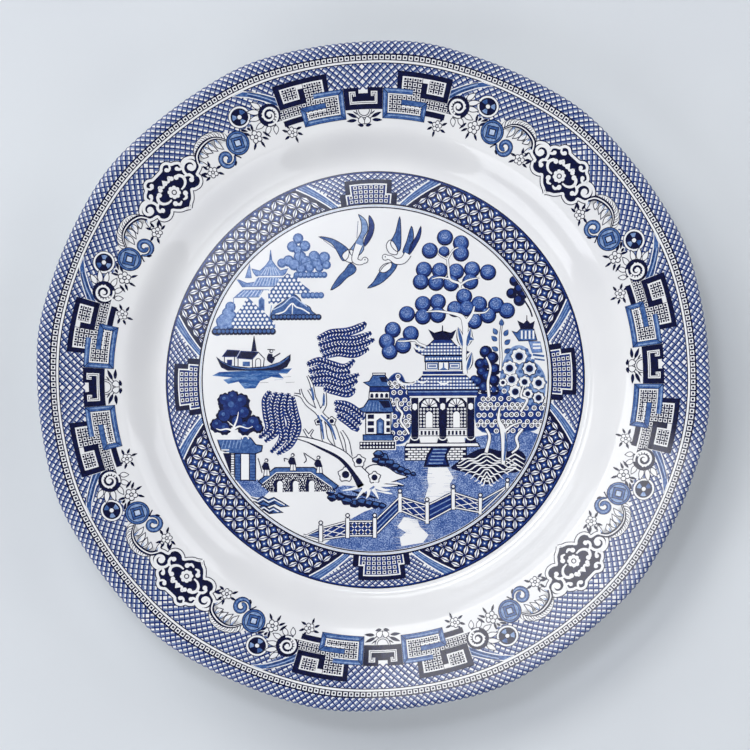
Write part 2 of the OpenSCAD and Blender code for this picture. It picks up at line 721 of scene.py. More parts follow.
@dataclass
class PlateBody:
    """The earthenware body: well, curved wall, rim, lobed lip and foot ring in one shell."""

    around: int = 360
    wall_steps: int = 14
    lip_steps: int = 12
    bevel: float = 0.35

    def outline(self) -> list[Point]:
        """Returns the section as radius and height, from the middle of the well round to the underside."""
        s = SECTION
        wall = [s.well_r + (s.shoulder_r - s.well_r) * i / self.wall_steps for i in range(self.wall_steps + 1)]
        rim = [s.shoulder_r + (s.rim_end_r - s.shoulder_r) * i / 8 for i in range(1, 9)]
        tilt = math.degrees(s.rim_angle)
        well = [0.0, 20.0, 40.0, 60.0, 72.0, 78.0, 81.0]
        foot_top = s.well_h - s.floor_t
        foot_in = s.foot_r - s.foot_w
        return (
            [(r, s.well_h) for r in well]
            + [(r, s.top(r)[0]) for r in wall + rim]
            + arc(s.lip_centre, s.lip_r, 90 + tilt, tilt - 90, self.lip_steps)[1:]
            + [(r, s.under(r)) for r in reversed(wall + rim[:-1])]
            + [(s.foot_r + s.foot_draft, foot_top), (s.foot_r, 0.0), (foot_in, 0.0),
            (foot_in - s.foot_draft, foot_top)]
            + [(r, foot_top) for r in reversed(well[:5])]
        )

    def build(self) -> bpy.types.Object:
        """Spins the section, lobes the lip and softens the foot ring."""
        bm = bmesh.new()
        verts = [bm.verts.new((r, 0.0, z)) for r, z in self.outline()]
        edges = [bm.edges.new(pair) for pair in zip(verts, verts[1:])]
        bmesh.ops.spin(
            bm, geom=verts + edges, axis=(0, 0, 1), cent=(0, 0, 0), angle=2 * math.pi, steps=self.around,
            use_merge=True
        )
        bmesh.ops.remove_doubles(bm, verts=bm.verts, dist=0.002)
        bmesh.ops.recalc_face_normals(bm, faces=bm.faces)
        sharp = [
            e for e in bm.edges
            if len(e.link_faces) == 2 and e.calc_face_angle() > 0.6 and all(v.co.z < 3.0 for v in e.verts)
        ]
        bmesh.ops.bevel(bm, geom=sharp, offset=self.bevel, segments=2, profile=0.5, affect="EDGES", material=-1)
        for vert in bm.verts:
            angle = math.atan2(vert.co.y, vert.co.x)
            r = math.hypot(vert.co.x, vert.co.y)
            out = SECTION.lobed(r, angle)
            vert.co = (out * math.cos(angle), out * math.sin(angle), vert.co.z)
        for face in bm.faces:
            face.material_index = 1 if face.calc_center_median().z < 0.12 and face.normal.z < -0.7 else 0
        bmesh.ops.scale(bm, verts=bm.verts, vec=(MM, MM, MM))
        materials = [FINISH.get(Earthenware()), FINISH.get(BareFoot())]
        return finish_piece(bm, "earthenware_body", materials, "glazed_earthenware", ["plate_body"])


# ---------------------------------------------------------------- border print


def octants(flat_r: float, turn: float) -> list[Drape]:
    """Returns the eight places of a drawing that covers one eighth of the plate.

    Args:
        flat_r: radius in millimetres at which the flat drawing is true to size.
        turn: angle in degrees of the first mirror line, where the drawing's x is 0.

    Returns:
        The eight drapes, every other one mirrored.
    """

    def place(quarter: int, side: int) -> Drape:
        """Returns the drape of one copy."""
        start = math.radians(turn + 90 * quarter)
        return lambda x, y, lift: SECTION.on_top(start + side * x / flat_r, y, lift)

    return [place(quarter, side) for quarter in range(4) for side in (1, -1)]


@dataclass
class BorderLayout:
    """Where the rings of the border lie, as radii, and how their patterns repeat."""

    flat_r: float = 110.0
    turn: float = 2.0
    lip: float = 130.1
    chain_out: float = 125.0
    chain_in: float = 122.4
    white_in: float = 121.6
    line_in: float = 121.2
    squares: int = 344
    outer_diamonds: int = 304
    inner_diamonds: int = 264
    cut: float = 2.4

    @property
    def width(self) -> float:
        """Width of the flat drawing of one eighth."""
        return math.pi / 4 * self.flat_r

    def drapes(self) -> list[Drape]:
        """Returns the eight places of the drawing."""
        return octants(self.flat_r, self.turn)

    def sheet(self, name: str) -> Sheet:
        """Starts a sheet of the border print."""
        return Sheet(name, "border_print", "border_transfer")

    def lay(self, art: Sheet) -> None:
        """Lays a drawn sheet round the rim."""
        art.fold_out(self.drapes(), self.cut)


BORDER = BorderLayout()


def trellis(
    art: Sheet, low: Callable[[float], float], high: float, width: float, count: int, tall: float, line: float
) -> None:
    """Draws a woven diamond trellis: crossed navy lines, a grey stroke in each diamond.

    Args:
        art: the sheet to draw on.
        low: the lower edge's radius at each x.
        high: the upper edge's radius.
        width: width of the drawing.
        count: diamonds along the drawing.
        tall: height of one diamond.
        line: width of the crossed lines.
    """
    wide = width / count
    rows = int((high - 98) / tall * 2) + 2
    for row in range(rows):
        y = high - row * tall / 2
        for column in range(count + 1):
            x = (column + 0.5 * (row % 2)) * wide
            if x > width + 0.01 or y - tall / 2 < low(x):
                continue
            for side in (-1, 1):
                end = (x + side * wide / 2, y - tall / 2)
                if -0.01 <= end[0] <= width + 0.01:
                    art.ribbon([(x, y), end], line, DEEP, 0)
            y_mid = y - tall / 2
            stroke = [(x - 0.27 * wide, y_mid - 0.05 * tall), (x + 0.14 * wide, y_mid + 0.31 * tall)]
            if 0 < x < width and y_mid - tall / 4 > low(x):
                art.ribbon(stroke, 0.25 * tall, DASH, 0.5)


@dataclass
class BorderGround:
    """The rings round the lip and the trellis that the border's motifs stand on."""

    edge: tuple[Point, ...] = (
        (0, 111.5), (13, 111.5), (14, 117.5), (32, 117.5), (34, 112.5), (44, 109.5), (46, 107.5), (52, 107.5),
        (56, 110.5), (68, 111), (71, 106), (76, 106), (86.5, 112),
    )

    def floor(self, x: float) -> float:
        """Lowest radius of the trellis at x, behind the motifs."""
        for (x0, y0), (x1, y1) in zip(self.edge, self.edge[1:]):
            if x0 <= x <= x1:
                return y0 + (y1 - y0) * (x - x0) / (x1 - x0)
        return self.edge[-1][1]

    def rings(self) -> None:
        """Draws the row of squares and the lines on each side of it."""
        b, art = BORDER, BORDER.sheet("border_square_row")
        art.box((0, b.chain_in), (b.width, b.chain_out), NAVY, 1)
        art.box((0, b.white_in), (b.width, b.chain_in), WHITE, 1)
        art.box((0, b.line_in), (b.width, b.white_in), NAVY, 1)
        pitch = b.width / (b.squares / 8)
        middle = (b.chain_in + b.chain_out) / 2 - 0.1
        for i in range(b.squares // 8):
            x = (i + 0.5) * pitch
            art.box((x - 0.37 * pitch, middle - 0.82), (x + 0.37 * pitch, middle + 0.82), WHITE, 2)
            art.box((x - 0.19 * pitch, middle - 0.42), (x + 0.19 * pitch, middle + 0.42), NAVY, 3)
        b.lay(art)

    def outer(self) -> None:
        """Draws the trellis between the row of squares and the lip."""
        b, art = BORDER, BORDER.sheet("border_lip_trellis")
        trellis(art, lambda x: b.chain_out - 1.2, b.lip + 0.65, b.width, b.outer_diamonds // 8, 2.62, 0.53)
        for vert in art.bm.verts:
            vert.co.y = min(vert.co.y, b.lip)
        art.fold_out(b.drapes(), b.cut, [126.8 + 0.35 * i for i in range(10)])

    def inner(self) -> None:
        """Draws the trellis behind the motifs."""
        b, art = BORDER, BORDER.sheet("border_trellis")
        trellis(art, self.floor, b.line_in + 0.4, b.width, b.inner_diamonds // 8, 2.87, 0.55)
        b.lay(art)

    def build(self) -> None:
        """Builds the ground of the border."""
        self.rings()
        self.outer()
        self.inner()


def cells(art: Sheet, corner: Point, columns: int, rows: int, pitch: Point, level: float) -> None:
    """Draws rows of white squares with dark eyes on navy, up and outwards from a corner."""
    wide, tall = pitch
    art.box(corner, (corner[0] + columns * wide, corner[1] + rows * tall), NAVY, level)
    for i in range(columns):
        for j in range(rows):
            x, y = corner[0] + (i + 0.5) * wide, corner[1] + (j + 0.5) * tall
            art.box((x - 0.37 * wide, y - 0.37 * tall), (x + 0.37 * wide, y + 0.37 * tall), WHITE, level + 1)
            art.box((x - 0.21 * wide, y - 0.21 * tall), (x + 0.21 * wide, y + 0.21 * tall), NAVY, level + 2)


@dataclass
class KeyFret:
    """Two hooked brackets, one navy and one bevelled, each side of a navy block with a lotus under it."""

    def ground(self) -> None:
        """Draws the squares that fill the brackets, and their white inner lines."""
        art = BORDER.sheet("border_fret_squares")
        cells(art, (24.9, 111.8), 3, 3, (2, 1.7), 2)
        cells(art, (15, 109.4), 4, 4, (1.85, 1.86), 2)
        cells(art, (9.7, 102.7), 8, 4, (1.84, 1.75), 2)
        cells(art, (24.4, 105.9), 6, 2, (1.9, 1.7), 2)
        art.ribbon([(24.7, 111.7), (30.8, 111.7), (30.8, 116.7), (24.7, 116.7)], 0.55, WHITE, 5, closed=True)
        art.ribbon([(22.2, 116.7), (15.1, 116.7), (15.1, 112.2)], 0.55, WHITE, 5)
        inner = [(19.4, 110.1), (10, 110.1), (10, 103.1), (22.9, 103.1), (22.9, 105.5), (15.3, 105.5)]
        art.ribbon(inner, 0.5, WHITE, 5)
        art.ribbon([(25.6, 105.6), (36.4, 105.6)], 0.6, WHITE, 5)
        BORDER.lay(art)

    def navy(self) -> None:
        """Draws the navy hooked bracket."""
        art = BORDER.sheet("border_key_brackets")
        for low, high in (
            ((13, 116.9), (33.1, 118.8)), ((31, 109.6), (33.1, 118.8)), ((13, 112), (14.8, 118.8)),
            ((22.3, 109.5), (33.1, 111.5)), ((22.3, 109.5), (24.4, 115.2)), ((25.4, 103.1), (33.3, 105.2)),
        ):
            art.box(low, high, NAVY, 6)
        BORDER.lay(art)

    def bevelled(self) -> None:
        """Draws the blue bracket: a dark edge, a streaked face, a light line and mitred corners."""
        art = BORDER.sheet("border_bevelled_brackets")
        path = [(19.2, 111.2), (8.65, 111.2), (8.65, 101.7), (24.4, 101.7), (24.4, 107.1), (15.2, 107.1)]
        art.ribbon(path, 2.05, NAVY, 6)
        art.ribbon(path, 1.75, BLUE, 7)
        lit = [(x, y + 0.25) for x, y in path]
        art.ribbon(lit[:2], 0.55, SOFT, 8)
        art.ribbon([(8.4, 110.2), (8.4, 102.9)], 0.6, SOFT, 8)
        art.ribbon([(9.8, 101.9), (23.3, 101.9)], 0.4, SOFT, 8)
        art.ribbon([(24.6, 102.8), (24.6, 105.9)], 0.5, SOFT, 8)
        for x, y in path[1:5]:
            slope = 1 if (x < 10) == (y > 105) else -1
            art.ribbon([(x - 0.95, y + 0.95 * slope), (x + 0.95, y - 0.95 * slope)], 0.25, NAVY, 9)
        BORDER.lay(art)

    def centre(self) -> None:
        """Draws the centre block and its folded double line."""
        art = BORDER.sheet("border_centre_blocks")
        art.patch([(0, 104.1), (7.55, 104.1), (7.55, 112.3), (1.8, 112.3), (1.8, 110.1), (0, 110.1)], NAVY, 5)
        fold = [(3.5, 109), (3.5, 110.4), (5, 110.4), (5, 106.6), (0, 106.6)]
        art.ribbon(fold, 1, WHITE, 6)
        art.ribbon(fold, 0.22, NAVY, 7)
        BORDER.lay(art)

    def lotus(self) -> None:
        """Draws the half lotus that hangs under the centre block."""
        art = BORDER.sheet("border_lotus")
        art.ribbon(arc((0, 104), 3.1, 270, 360), 0.3, NAVY, 3)
        art.ribbon(arc((0, 104), 2.3, 270, 360), 0.3, NAVY, 3)
        cup = smooth([(0, 99.9), (1, 101.3), (2.3, 100.7), (2.6, 99.6), (1.6, 98.7), (0, 98.6)], steps=4)
        art.shape(cup, WHITE, NAVY, 0.3, 3)
        for root, tip, width in (
            ((3, 101.1), (7.3, 103.1), 1.35), ((3.3, 100.1), (7.7, 100), 1.3), ((0.4, 97.9), (3.1, 98.4), 1.2),
            ((2.7, 102.2), (4.6, 103.6), 0.5),
        ):
            art.leaf(root, tip, width, 4)
        art.ribbon([(2.4, 100.6), (3.4, 101.4)], 0.35, NAVY, 4)
        BORDER.lay(art)

    def build(self) -> None:
        """Builds the whole fret."""
        self.ground()
        self.navy()
        self.bevelled()
        self.centre()
        self.lotus()


@dataclass
class RimOrnaments:
    """The bars, coins, curls, feathers and sprigs between a fret and a cartouche."""

    dark_coin: Point = (48.3, 113.4)
    blue_coin: Point = (53.7, 105.2)
    curl: Point = (37.6, 109.4)
    scroll: Point = (61, 102.4)

    def bars(self) -> None:
        """Draws the streaked slanting bars."""
        art = BORDER.sheet("border_slanting_bars")
        bar = [(47.2, 121.4), (43.2, 121.4), (38, 118.3), (33.1, 114.8), (33.1, 111), (37.6, 115), (42.4, 118.6)]
        art.shape(bar, BLUE, WHITE, 0.35, 2)
        for shift in (0.9, 1.8, 2.7):
            streak = smooth([(33.3, 111.2 + shift), (37.6, 114.9 + shift), (42, 118.3 + shift * 0.9)], steps=4)
            art.ribbon(streak, 0.22, PALE if shift == 1.8 else NAVY, 3.5)
        BORDER.lay(art)

    def coins(self) -> None:
        """Draws the navy coin with soft sectors and the blue coin with a square eye."""
        art = BORDER.sheet("border_coins")
        art.disc(self.dark_coin, 4.3, NAVY, 2, 24)
        art.disc(self.dark_coin, 4.05, WHITE, 3, 24)
        art.disc(self.dark_coin, 3.35, NAVY, 4, 24)
        for i, ink in enumerate((SOFT, BLUE, SOFT)):
            turn = 20 + 120 * i
            outside = arc(self.dark_coin, 2.75, turn - 24, turn + 24, 5)
            art.patch(outside + arc(self.dark_coin, 1.2, turn + 20, turn - 20, 3), ink, 5)
        art.disc(self.dark_coin, 0.8, WHITE, 6, 12)
        c = self.blue_coin
        art.disc(c, 4.75, NAVY, 4, 26)
        art.disc(c, 4.45, BLUE, 5, 26)
        art.disc(c, 3.8, NAVY, 6, 24)
        art.disc(c, 3.55, SOFT, 7, 24)
        for half, turn, ink, level in ((2.4, 12, NAVY, 8), (2.1, 12, BLUE, 8.7), (1.35, 12, NAVY, 9.2),
                (0.95, 12, PALE, 9.6)):
            square = moved([(-half, -half), (half, -half), (half, half), (-half, half)], c, turn)
            art.patch(square, ink, level)
        BORDER.lay(art)

    def curls(self) -> None:
        """Draws the beaded white curl, its toothed leaves and the blue scroll."""
        art = BORDER.sheet("border_curls")
        for root, tip in (
            ((40.6, 111.6), (45.2, 114)), ((41, 110), (45.6, 110.6)), ((39.9, 113), (42.4, 116.5)),
            ((40.6, 107.4), (44.6, 106.6)), ((38.9, 105.7), (41.8, 102.9)), ((36.6, 105), (37.8, 101.8)),
        ):
            outline = leaf_outline(root, tip, 2)
            art.shape(outline, WHITE, NAVY, 0.28, 3)
        art.disc(self.curl, 4.4, NAVY, 4, 24)
        art.ribbon(coil(self.curl, 3.75, 0.6, 300, -640, 34), [0.75, 0.8, 0.8, 0.9], WHITE, 5)
        for i in range(11):
            bead = spot(self.curl, 2.65, 250 - 24 * i)
            art.disc(bead, 0.42, WHITE, 6, 8)
        art.disc(self.curl, 0.75, WHITE, 6, 10)
        scroll = coil(self.scroll, 3.55, 0.9, 190, 470, 26)
        art.ribbon(scroll, [0.8, 2.1, 2, 1.9, 1.5], NAVY, 3)
        art.ribbon(scroll, [0.3, 1.45, 1.4, 1.3, 1.1], BLUE, 4)
        art.ribbon(scroll[3:20], 0.35, SOFT, 5)
        art.ribbon(smooth([(57.5, 102), (56.2, 100.6), (55.6, 99.7)], steps=4), 0.5, NAVY, 3)
        BORDER.lay(art)

    def feathers(self) -> None:
        """Draws the arched feather: pale barbs above, a dark spine and white leaves below."""
        art = BORDER.sheet("border_feathers")
        spine = smooth([(71.5, 107.2), (70, 109.9), (66.6, 111.6), (62.8, 112), (59.6, 110.8), (57.2, 108.3)], steps=6)
        above = smooth([(71.8, 109), (69.6, 112.4), (66.8, 114.2), (63.2, 114.6), (59.2, 113.4), (56.4, 111)], steps=6)
        art.patch(above + spine[::-1], WHITE, 2)
        for i in range(2, len(above) - 1, 3):
            j = min(i + 2, len(spine) - 1)
            art.leaf(spine[j], above[i], 1.3, 3, 0.12)
            art.leaf(spine[j], above[i], 0.75, 4, 0.12, WHITE)
        art.ribbon(above, 0.28, NAVY, 3.5)
        below = [(59.9, 106), (62.2, 106.6), (64.2, 107.1), (66.6, 107), (68.9, 104.2)]
        roots = [(60.8, 110.8), (63.6, 111.3), (66, 111), (68.4, 109.8), (70.9, 107.6)]
        for root, tip in zip(roots, below):
            art.shape(leaf_outline(root, tip, 1.9, 0.1), WHITE, NAVY, 0.3, 3)
            art.ribbon([root, ((root[0] + tip[0]) / 2, (root[1] + tip[1]) / 2)], [0.7, 0.1], SOFT, 4)
        art.ribbon(spine, [1.7, 2, 1.9, 1.3, 0.8], NAVY, 5)
        art.ribbon(spine, [0.5, 0.5, 0.35, 0.1], WHITE, 6)
        BORDER.lay(art)

    def sprigs(self) -> None:
        """Draws the small flowers along the inner edge, with their dark leaves."""
        art = BORDER.sheet("border_sprigs")
        for (x, y), size, leaves in (
            ((31.1, 100.4), 2.1, (20, 60, 160, 200, 250, 330)), ((45.9, 104), 2.5, (35, 85, 205, 245, 300)),
            ((69, 101.3), 2.2, (60, 95, 170, 215, 340, 20)),
        ):
            for turn in leaves:
                root, tip = spot((x, y), size * 0.95, turn), spot((x, y), size * 2.15, turn + 8)
                art.leaf(root, tip, 1, 4)
            art.sprig_flower((x, y), size, 5)
        for root, tip in (((50.3, 109), (47.9, 107.2)), ((47.6, 108.6), (46.7, 106.9)),
                ((42.6, 104.8), (40.4, 101.7)), ((73.5, 103.6), (72, 100.8)), ((58, 99.9), (59.6, 98.3))):
            art.leaf(root, tip, 1, 4)
        BORDER.lay(art)

    def build(self) -> None:
        """Builds all the ornaments between fret and cartouche."""
        self.bars()
        self.coins()
        self.curls()
        self.feathers()
        self.sprigs()


@dataclass
class Cartouche:
    """A navy cloud-shaped medallion edged in white, with curls round a white flower."""

    centre_r: float = 105.6

    def at(self, across: float, out: float) -> Point:
        """Turns a point measured from the flower, sideways and outwards, into the border drawing."""
        return (BORDER.width - across * BORDER.flat_r / self.centre_r, self.centre_r + out)

    def line(self, points: Sequence[Point], steps: int = 5) -> list[Point]:
        """Runs a smooth curve through points measured from the flower."""
        return [self.at(*p) for p in smooth(points, steps=steps)]

    def curl(self, art: Sheet, points: Sequence[Point], width: float, ball: float) -> None:
        """Draws a white curl that ends in a ball."""
        art.ribbon(self.line(points), [width * 0.5, width, width], WHITE, 6)
        art.disc(self.at(*points[-1]), ball, WHITE, 6.5, 12)

    def build(self) -> None:
        """Draws one half; its mirror image makes the other."""
        art = BORDER.sheet("border_cartouches")
        edge = [
            (0, 9), (2.2, 9.1), (2.8, 9.6), (4, 10.3), (5.5, 9.8), (6.5, 8.2), (7.7, 7.7), (8.9, 6.6), (8.9, 5.1),
            (9.6, 5.8), (11.6, 6.2), (14, 5), (14.8, 2.6), (14, 0.2), (11.4, -1), (11.6, -2.3), (10.8, -4), (9, -4.9),
            (6.9, -4.6), (5.7, -3.9), (4.6, -5.2), (3.2, -6.6), (1.5, -7.4), (0, -8.4),
        ]
        outline = self.line(edge, 3)
        art.ribbon(outline, 1.75, NAVY, 3)
        art.patch([*outline, self.at(0, 0)], NAVY, 4)
        art.ribbon(outline, 1.05, WHITE, 5)
        big = coil((11.3, 2.7), 3.3, 0.9, 200, -330, 22)
        art.ribbon([self.at(*p) for p in big], [1, 1.1, 1.3], WHITE, 6)
        art.disc(self.at(11.1, 2.6), 1.25, WHITE, 6.5, 14)
        self.curl(art, [(8.9, 6.4), (8.6, 4.6), (7.3, 4.9), (7, 5.6)], 1, 0.8)
        self.curl(art, [(5.9, 9), (5.3, 7.6), (4.2, 7.3), (3.9, 7.9)], 1, 0.8)
        self.curl(art, [(2.8, -1.2), (4.7, -1), (6.2, 0.2), (6.6, 1.9), (5.7, 3.3), (4.6, 3.4)], 1.2, 0.95)
        self.curl(art, [(6.4, 1.4), (7.6, 1.5), (8.9, 0.8), (9.3, -0.6), (8.3, -1.2)], 1.1, 0.95)
        self.curl(art, [(0.4, -4.3), (1.9, -4.6), (2.9, -3.2)], 1.1, 1)
        self.curl(art, [(0, 4.8), (1.5, 4.3), (2.5, 5.3), (3, 4.3)], 1.1, 0.85)
        art.patch([self.at(*p) for p in ((0, 6.4), (0.7, 5.4), (1.4, 4.4), (0, 3.8))], WHITE, 6)
        middle = self.at(0, 0)
        for i in range(5):
            turn = 270 - 45 * i
            petal = (middle[0] + 1.75 * math.cos(math.radians(turn)), middle[1] + 1.75 * math.sin(math.radians(turn)))
            if i in (0, 4):
                half = arc(petal, 0.85, 90, 270, 8)
                art.patch(half, WHITE, 7)
            else:
                art.disc(petal, 0.85, WHITE, 7, 12)
        art.patch(arc(middle, 1.75, 90, 270, 10), WHITE, 7.5)
        art.ribbon(arc(middle, 0.85, 90, 270, 8), 0.4, NAVY, 8)
        BORDER.lay(art)


# ---------------------------------------------------------------- ring band print


@dataclass
class RingBand:
    """The band round the landscape: a petal diaper with four stepped panels between slanting bars."""

    flat_r: float = 75.0
    turn: float = 2.0
    outer: float = 80.4
    inner: float = 68.9
    node_rows: tuple[float, ...] = (80.1, 76.9, 73.7, 70.4)
    nodes: int = 80
    trellis_count: int = 200
    bar_radii: Point = (68.1, 80)
    bar_inside: Point = (9, 16.7)
    bar_outside: Point = (11.85, 20.5)
    cut: float = 2.6

    @property
    def width(self) -> float:
        """Width of the flat drawing of one eighth."""
        return math.pi / 4 * self.flat_r

    def at(self, degrees: float, radius: float) -> Point:
        """Turns an angle from a panel's middle and a radius into the flat drawing."""
        return (math.radians(degrees) * self.flat_r, radius)

    def lay(self, art: Sheet) -> None:
        """Lays a drawn sheet round the well."""
        art.fold_out(octants(self.flat_r, self.turn), self.cut)

    def sheet(self, name: str) -> Sheet:
        """Starts a sheet of the band print."""
        return Sheet(name, "band_print", "band_transfer")

    def edge(self, angles: Point, radius: float) -> float:
        """Angle at a radius of an edge that turns from one angle to another between the bar's two radii."""
        low, high = self.bar_radii
        return angles[0] + (radius - low) / (high - low) * (angles[1] - angles[0])

    def petal_side(self, radius: float) -> float:
        """Angle of the bar's outer edge at a radius."""
        return self.edge(self.bar_outside, radius)

    def bar_side(self, radius: float) -> float:
        """Angle of the bar's inner edge at a radius."""
        return self.edge(self.bar_inside, radius)

    def lines(self) -> None:
        """Draws the rings that bound the band and the landscape."""
        art = self.sheet("band_lines")
        for low, high, ink in (
            (self.outer, 80.95, DEEP), (80.95, 81.35, NAVY), (68.3, self.inner, NAVY),
            (67.7, 67.95, PALE), (66.95, 67.4, NAVY),
        ):
            art.box((0, low), (self.width, high), ink, 3)
        self.lay(art)

    def petals(self) -> None:
        """Draws the diaper of white petals round dotted squares."""
        art = self.sheet("band_petal_diaper")
        low = [self.at(self.petal_side(r), r) for r in (self.inner, self.outer)]
        art.patch([low[0], (self.width, self.inner), (self.width, self.outer), low[1]], NAVY, 0)
        pitch = self.width / (self.nodes / 8)
        for row, radius in enumerate(self.node_rows):
            for column in range(-1, self.nodes // 8 + 1):
                x = (column + 0.5 * (row % 2)) * pitch
                below = self.node_rows[row + 1] if row < 3 else 67.2
                for side in (-1, 1):
                    end = (x + side * pitch / 2, below)
                    middle = ((x + end[0]) / 2, (radius + below) / 2)
                    if row == 3:
                        end, middle = middle, (x + side * pitch / 6, radius - 1)
                    clear = math.degrees(middle[0] / self.flat_r) - self.petal_side(middle[1])
                    if middle[0] > self.width or clear < 0.7:
                        continue
                    dx, dy = end[0] - x, end[1] - radius
                    root, tip = (x + 0.08 * dx, radius + 0.08 * dy), (x + 0.92 * dx, radius + 0.92 * dy)
                    if row < 3:
                        art.ribbon([root, middle, tip], [0.3, 1.75, 0.3], WHITE, 1)
                    else:
                        art.ribbon([root, tip], [0.3, 1.3], WHITE, 1)
                    art.ribbon([root, tip], 0.4, DEEP, 2)
                square = (x + pitch / 2, radius)
                clear = math.degrees(square[0] / self.flat_r) - self.petal_side(radius)
                if square[0] <= self.width + 0.01 and clear > 1:
                    for half, ink, level in ((1.45, DEEP, 0.5), (0.85, BLUE, 2), (0.36, WHITE, 3)):
                        points = ((-half, 0), (0, -half), (half, 0), (0, half))
                        art.patch([(min(square[0] + u, self.width), radius - 0.1 + v) for u, v in points], ink, level)
        self.lay(art)

    def bars(self) -> None:
        """Draws the blue bars with white edges on each side of a panel."""
        art = self.sheet("band_bars")
        inner = [self.at(self.bar_side(r), r) for r in (self.inner, self.outer)]
        outer = [self.at(self.petal_side(r), r) for r in (self.inner, self.outer)]
        art.patch([inner[0], outer[0], outer[1], inner[1]], BLUE, 2)
        for share, ink, wide in ((0.08, WHITE, 0.5), (0.92, WHITE, 0.5), (0.4, SOFT, 0.35), (0.65, SOFT, 0.3)):
            line = [(a[0] + (b[0] - a[0]) * share, a[1]) for a, b in zip(inner, outer)]
            art.ribbon(line, wide, ink, 3)
        self.lay(art)

    def trellis(self) -> None:
        """Draws the woven trellis between the bars, behind each panel."""
        art = self.sheet("band_trellis")
        wide, tall = self.width / (self.trellis_count / 8), 2.1
        for row in range(12):
            y = self.outer - row * tall / 2
            for column in range(11):
                x = (column + 0.5 * (row % 2)) * wide
                middle = y - tall / 2
                if middle < self.inner or math.degrees(x / self.flat_r) > self.bar_side(middle) + 0.5:
                    continue
                for side in (-1, 1):
                    if x + side * wide / 2 > -0.01:
                        art.ribbon([(x, y), (x + side * wide / 2, middle)], 0.46, DEEP, 0)
                if x > 0:
                    stroke = [(x - 0.26 * wide, middle - 0.05 * tall), (x + 0.16 * wide, middle + 0.3 * tall)]
                    art.ribbon(stroke, 0.27 * tall, DASH, 0.5)
        self.lay(art)

    def panels(self) -> None:
        """Draws the stepped navy panels filled with squares."""
        art = self.sheet("band_panels")
        frame = [(0, 68.9), (9, 68.9), (8.8, 73.2), (7, 73.2), (6.8, 78.2), (0, 78.2)]
        art.patch([self.at(*p) for p in frame], NAVY, 2)
        inner = [(6.9, 68.9), (6.9, 72.5), (5.3, 72.5), (5.3, 76.3), (0, 76.3)]
        art.patch([(0, 68.9)] + [self.at(*p) for p in inner], DEEP, 3)
        art.ribbon([self.at(*p) for p in inner], 0.5, WHITE, 4)
        pitch = (2.06, 1.78)
        for row in range(4):
            for column in range(4 if row < 2 else 3):
                x, y = (column + 0.5) * pitch[0], 69.8 + row * pitch[1]
                art.box((x - 0.69, y - 0.62), (x + 0.69, y + 0.62), WHITE, 5)
                art.box((x - 0.4, y - 0.37), (x + 0.4, y + 0.37), NAVY, 6)
        self.lay(art)

    def build(self) -> None:
        """Builds the whole band."""
        self.lines()
        self.petals()
        self.bars()
        self.trellis()
        self.panels()


# ---------------------------------------------------------------- landscape print


SCENE_EDGE = 66.85  # radius of the white gap inside the band's lines, where the landscape ends


def scene_sheet(name: str) -> Sheet:
    """Starts a sheet of the landscape, drawn in millimetres about the middle of the plate."""
    return Sheet(name, "landscape_print", "landscape_transfer")


def lay_scene(art: Sheet) -> None:
    """Lays a drawn sheet in the well, kept inside the lines of the band."""
    art.fold_out([lambda x, y, lift: SECTION.on_top(math.atan2(y, x), min(math.hypot(x, y), SCENE_EDGE), lift)])


def scatter(low: Point, high: Point, pitch: float, inside: Callable[[float, float], bool]) -> list[Point]:
    """Returns staggered points of a rectangle for which inside is true."""
    out, row, y = [], 0, low[1]
    while y <= high[1]:
        x = low[0] + pitch / 2 * (row % 2)
        while x <= high[0]:
            if inside(x, y):
                out.append((x, y))
            x += pitch
        y += pitch * 0.87
        row += 1
    return out


def within(outline: Sequence[Point]) -> Callable[[float, float], bool]:
    """Returns a test of whether a point is inside an outline."""

    def test(x: float, y: float) -> bool:
        """Counts the outline's crossings of a level line to the right of the point."""
        hits = 0
        for (x0, y0), (x1, y1) in zip(outline, [*outline[1:], outline[0]]):
            if (y0 > y) != (y1 > y) and x < x0 + (y - y0) / (y1 - y0) * (x1 - x0):
                hits += 1
        return hits % 2 == 1

    return test


def eyed(art: Sheet, centre: Point, radius: float, level: float) -> None:
    """Draws a white ring with a dark eye."""
    art.disc(centre, radius, WHITE, level, 10)
    art.disc(centre, radius * 0.62, NAVY, level + 0.6, 8)
    art.disc(centre, radius * 0.24, WHITE, level + 1.2, 6)


def stem(art: Sheet, points: Sequence[Point], widths: Sequence[float], level: float, edge: float) -> None:
    """Draws a white stem between two dark lines."""
    path = smooth(points)
    art.ribbon(path, [w + edge for w in widths], NAVY, level)
    art.ribbon(path, widths, WHITE, level + 1)


def scallops(art: Sheet, start: Point, end: float, radius: float, ink: Ink, level: float) -> None:
    """Draws a level row of rounded ground, from a start to an end x."""
    count = max(2, round((end - start[0]) / (radius * 1.35)))
    for i in range(count):
        x = start[0] + (end - start[0]) * (i + 0.5) / count
        art.disc((x, start[1]), radius * 1.12, NAVY if ink is BLUE else BLUE, level, 10)
        art.disc((x, start[1] + 0.2), radius * 0.6, ink, level + 1, 10)


